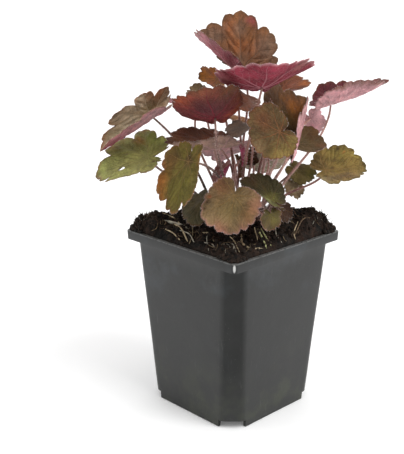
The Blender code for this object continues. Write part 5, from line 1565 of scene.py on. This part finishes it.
def painted(base, patches, x, y, reach, seed):
    """The face's colour at each point: its base, and the soft patches laid on it."""
    colour = np.broadcast_to(PAINT[base], x.shape + (3,)).copy()
    spots = np.stack([x, y, np.full_like(x, seed)], axis=-1)
    ragged = 1.0 + 0.4 * lumps(spots, 3.0, 81) + 0.2 * lumps(spots, 1.2, 82)
    for px, py, radius, name, strength in patches:
        away = np.hypot(x / reach - px, y / reach - py) * (ragged if radius > CLEAN_PATCH else 1.0)
        share = strength * np.exp(-(away / radius) ** PATCH_EDGE)
        colour += (PAINT[name] - colour) * share[..., None]
    return colour


print("columns round a blade", len(column_angles(COLUMNS_PER_LOBE)), "rings", len(RINGS))

# %% [markdown]
# One leaf has a hole eaten in it. A Boolean would spoil the neat grid, so the grid's own points are drawn on to the
# hole's edge, the quads inside are left out, and the two faces are joined round it.

# %% A hole in a leaf
# place on the leaf, and half width and half height, all in shares of reach
BITES = {"leaf_left_green": (0.53, 0.12, 0.085, 0.055)}


def bitten(leaf, angle, share):
    """The grid with its points drawn onto the edge of the leaf's hole, and a mask of the quads inside it."""
    px, py, wide, high = BITES[leaf.name]
    radius = outline_share(leaf, angle) * share
    x, y = radius * np.cos(np.radians(angle)), radius * np.sin(np.radians(angle))
    away = np.hypot((x - px) / wide, (y - py) / high)
    inside = away < 1.0
    quad = inside[:-1] & inside[1:]
    quad = quad & np.roll(quad, -1, axis=1)
    corners = np.zeros_like(inside)
    corners[:-1] |= quad
    corners[1:] |= quad
    corners = corners | np.roll(corners, 1, axis=1)
    interior = np.zeros_like(inside)
    full = quad[:-1] & quad[1:]
    full = full & np.roll(full, 1, axis=1)
    interior[1:-1] = full
    edge = corners & ~interior
    scale = np.where(edge, 1.0 / np.maximum(away, 1e-3), 1.0)
    x, y = px + (x - px) * scale, py + (y - py) * scale
    new_angle = np.where(edge, np.degrees(np.arctan2(y, x)), angle)
    new_share = np.where(edge, np.hypot(x, y) / outline_share(leaf, new_angle), share)
    return new_angle, new_share, quad


print("leaves with a hole", len(BITES))

# %% [markdown]
# The shell of a blade is an upper and a lower sheet, joined by a thin wall round the margin. The wall carries the
# rim's own colour, which also runs in a fine line just inside the margin on both faces.

# %% Blade shell
RIM_LINE_FROM = 0.93
RIM_LINE_SPAN = 0.06


def blade_shell(piece, leaf, look, number):
    """Adds both faces and the edge of the blade, and gives back the angles of its columns."""
    upper, lower, rim, vein, rib, _, upper_patches, lower_patches = look
    small = leaf.reach < SMALL_REACH
    angles = column_angles(SMALL_COLUMNS_PER_LOBE if small else COLUMNS_PER_LOBE)
    shares = np.array(SMALL_RINGS if small else RINGS)
    angle, share = np.meshgrid(angles, shares)
    hole = np.zeros((len(shares) - 1, len(angles)), bool)
    if leaf.name in BITES:
        angle, share, hole = bitten(leaf, angle, share)
    x, y = flat_place(leaf, angle, share)
    pucker = pucker_height(leaf, x, y, share)
    thick = np.interp(share, (0.0, 0.7, 1.0), (THICK * 1.3, THICK, THIN))
    quads = ring_grid(len(shares), len(angles)).reshape(len(shares) - 1, len(angles), 4)
    kept = quads[~hole]
    centre = share.size
    fan = np.stack([np.arange(len(angles)), np.roll(np.arange(len(angles)), -1),
                    np.full(len(angles), centre)], axis=-1)
    rim_share = np.clip((share - RIM_LINE_FROM) / RIM_LINE_SPAN, 0.0, 1.0)
    count = centre + 1
    blocks, tints = [], []
    for sign, base, patches, rim_strength in ((1, upper, upper_patches, 0.75), (-1, lower, lower_patches, 0.65)):
        sheet = blade_points(leaf, angle, share, pucker + sign * thick / 2.0)
        middle = blade_points(leaf, np.zeros(1), np.zeros(1), np.full(1, sign * thick.flat[0] / 2.0))
        colour = painted(base, patches, x, y, leaf.reach, number)
        colour += (PAINT[rim] - colour) * (rim_strength * rim_share[..., None])
        blocks.append(np.vstack([sheet.reshape(-1, 3), middle]))
        tints.append(np.vstack([colour.reshape(-1, 3), colour[:1, 0]]))
    plane = np.c_[np.r_[x.ravel(), 0.0], np.r_[y.ravel(), 0.0], np.full(count, PLANE_STEP * number)]
    ribs = np.vstack([np.broadcast_to(PAINT[vein], (count, 3)), np.broadcast_to(PAINT[rib], (count, 3))])
    last = (len(shares) - 1) * len(angles) + np.arange(len(angles))
    edge_wall = np.stack([last, np.roll(last, -1), np.roll(last, -1) + count, last + count], axis=-1)
    hole_walls = []
    for ring, column in zip(*np.nonzero(hole)):
        one, two, three, four = quads[ring, column]
        beside = len(angles)
        for neighbour, (a, b) in (((ring - 1, column), (one, two)), ((ring + 1, column), (three, four)),
                                  ((ring, (column + 1) % beside), (two, three)),
                                  ((ring, (column - 1) % beside), (four, one))):
            if not hole[neighbour]:
                hole_walls.append((a, b, b + count, a + count))
    faces_upper = [kept, fan, edge_wall] + ([np.array(hole_walls)] if hole_walls else [])
    faces_lower = [kept[:, ::-1] + count, fan[:, ::-1] + count]
    start = piece.count
    piece.add(np.vstack(blocks), faces_upper, 0, np.vstack(tints), ribs, np.vstack([plane, plane]), leaf.reach)
    for block in faces_lower:
        piece.faces += (block + start).tolist()
        piece.slots.append(np.full(len(block), 1))
    return angles


print("blade edge", THIN, "to", THICK, "mm thick")

# %% [markdown]
# Under each lobe runs a raised rib. The stalk is a tube that tapers upwards and turns pinker on the way. Both are
# separate closed tubes that run a little into the blade, as a weld does.

# %% Ribs and stalk
RIB_STEPS = 12
RIB_SIDES = 6
MAIN_RIB_RADIUS = 0.34
RIB_RADIUS = 0.27
RIB_TIP_RADIUS = 0.08
STALK_STEPS = 30
STALK_SIDES = 8
STALK_HAIRS_PER_MM = 4.5
STALK_HAIR_LENGTHS = (0.8, 2.3)
HAIR_SCATTER = 0.35
HAIR_RADIUS = 0.065
HAIR_TINT = np.array((0.95, 0.86, 0.82))
# the order in which a leaf's shells use them
LEAF_MATERIALS = [leaf_upper, leaf_under, stalk_skin, hair_skin]


def add_ribs(piece, leaf, look, number):
    """The raised ribs on the lower face, one down each lobe."""
    colour = PAINT[look[4]]
    size = 0.5 if leaf.reach < SMALL_REACH else 1.0
    for lobe in LOBE_CENTRES:
        longest = 0.78 if abs(lobe) < 100 else 0.62
        share = np.linspace(0.03, longest, RIB_STEPS)
        angle = np.full(RIB_STEPS, lobe)
        taper = np.linspace(MAIN_RIB_RADIUS if lobe == 0 else RIB_RADIUS, RIB_TIP_RADIUS, RIB_STEPS)
        taper = taper * (0.6 + 0.4 * size)
        x, y = flat_place(leaf, angle, share)
        under = pucker_height(leaf, x, y, share) - THICK / 2.0 - taper * 0.35
        path = blade_points(leaf, angle, share, under)
        points, faces, _ = tube(path, taper, RIB_SIDES)
        plane = np.repeat(np.c_[x, y, np.full(RIB_STEPS, PLANE_STEP * number)], RIB_SIDES, axis=0)
        piece.add(points, faces, 1, colour * 0.55 + PAINT[look[1]] * 0.35, colour, plane, leaf.reach)


def add_stalk(piece, leaf, look, foot):
    """The stalk, and the hairs on the part of it that stands above the peat."""
    path = stalk_path(leaf, foot, STALK_STEPS)
    radii = np.linspace(FOOT_RADIUS - 0.1, TOP_RADIUS - 0.12, len(path)) * (1.0 + 0.05 * lumps(path, 6.0, 91))
    points, faces, out = tube(path, radii, STALK_SIDES)
    base = PAINT[look[5]]
    up = np.repeat(np.linspace(0.0, 1.0, len(path)), STALK_SIDES)[:, None]
    colour = base * (0.75 + 0.45 * up) + (PAINT["stem_pink"] - base) * 0.35 * up ** 2
    colour = colour * (1.0 + 0.25 * lumps(points, 4.0, 92))[:, None]
    piece.add(points, faces, 2, colour)
    rings = out[3:-1]
    spine = path[3:-1]
    length = float(np.linalg.norm(np.diff(spine, axis=0), axis=1).sum())
    count = int(length * STALK_HAIRS_PER_MM)
    row = chance.integers(0, len(spine) - 1, count)
    along = chance.random(count)[:, None]
    column = chance.integers(0, STALK_SIDES, count)
    away = unit(rings[row, column] + chance.normal(0, HAIR_SCATTER, (count, 3)))
    roots = spine[row] * (1 - along) + spine[row + 1] * along + rings[row, column] * TOP_RADIUS * 0.9
    above = roots[:, 2] > POT_HEIGHT + SOIL_MOUND
    points, faces = hairs(roots[above], away[above], chance.uniform(*STALK_HAIR_LENGTHS, count)[above], HAIR_RADIUS)
    piece.add(points, faces, 3, HAIR_TINT * (0.75 + 0.25 * base / base.max()))


print("materials on a leaf", [material.name for material in LEAF_MATERIALS])

# %% [markdown]
# The margin has a fringe of short hairs, and the stalk is furred with longer ones. Hairs are three-sided spikes in
# the leaf's own mesh, because particles and hair curves don't reach the exported model.

# %% Fringe, and all the leaves
MARGIN_HAIRS_PER_MM = 2.4
MARGIN_HAIR_LENGTHS = (0.35, 0.95)


def add_margin_hairs(piece, leaf, look, angles):
    """A fringe of short hairs that point out from the margin, each turned a little at random."""
    rim = blade_points(leaf, angles, np.ones(len(angles)))
    inner = blade_points(leaf, angles, np.full(len(angles), 0.93))
    steps = np.linalg.norm(np.roll(rim, -1, axis=0) - rim, axis=1)
    count = int(steps.sum() * MARGIN_HAIRS_PER_MM)
    pick = chance.choice(len(angles) - 1, count, p=steps[:-1] / steps[:-1].sum())
    part = chance.random(count)[:, None]
    roots = rim[pick] * (1 - part) + rim[pick + 1] * part
    away = unit(roots - inner[pick] * (1 - part) - inner[pick + 1] * part)
    away = unit(away + chance.normal(0, HAIR_SCATTER, (count, 3)))
    lengths = chance.uniform(*MARGIN_HAIR_LENGTHS, count)
    points, faces = hairs(roots - away * 0.1, away, lengths, HAIR_RADIUS * 0.8)
    piece.add(points, faces, 3, HAIR_TINT * 0.75 + PAINT[look[2]] * 0.3)


total = 0
for number, (leaf, foot) in enumerate(zip(LEAVES, feet)):
    look = LOOKS[leaf.name]
    piece = Shells()
    angles = blade_shell(piece, leaf, look, number)
    add_ribs(piece, leaf, look, number)
    add_stalk(piece, leaf, look, foot)
    add_margin_hairs(piece, leaf, look, angles)
    piece.make(leaf.name + "_fine", LEAF_MATERIALS, (leaf.name,))
    total += len(piece.faces)
print("leaf faces", total)

# %% [markdown]
# ## Floor
# A wide white floor takes the faint shadow. It glows a little, so that it stays as white as the overexposed sweep
# in the photograph.

# %% Floor
FLOOR_HALF = 14.0
FLOOR_DROP = 0.0002
FLOOR_WHITE = (0.93, 0.93, 0.93, 1.0)
FLOOR_GLOW = 0.12

floor_mesh = bpy.data.meshes.new("floor")
floor_corners = ((-1, -1), (1, -1), (1, 1), (-1, 1))
floor_mesh.from_pydata([(x * FLOOR_HALF, y * FLOOR_HALF, -FLOOR_DROP) for x, y in floor_corners], [], [(0, 1, 2, 3)])
floor = bpy.data.objects.new("floor", floor_mesh)
bpy.context.scene.collection.objects.link(floor)
paper, tree, shader = new_material("white_floor", 0.9, 0.2)
grain = use(tree, mottle, Color=FLOOR_WHITE, Vector=object_place(tree), Scale=6.0, Strength=0.02, Grain=0.02)
feed(tree, shader.inputs["Base Color"], grain["Color"])
shader.inputs["Emission Color"].default_value = (1.0, 1.0, 1.0, 1.0)
shader.inputs["Emission Strength"].default_value = FLOOR_GLOW
floor_mesh.materials.append(paper)
print("floor", 2 * FLOOR_HALF, "m wide")
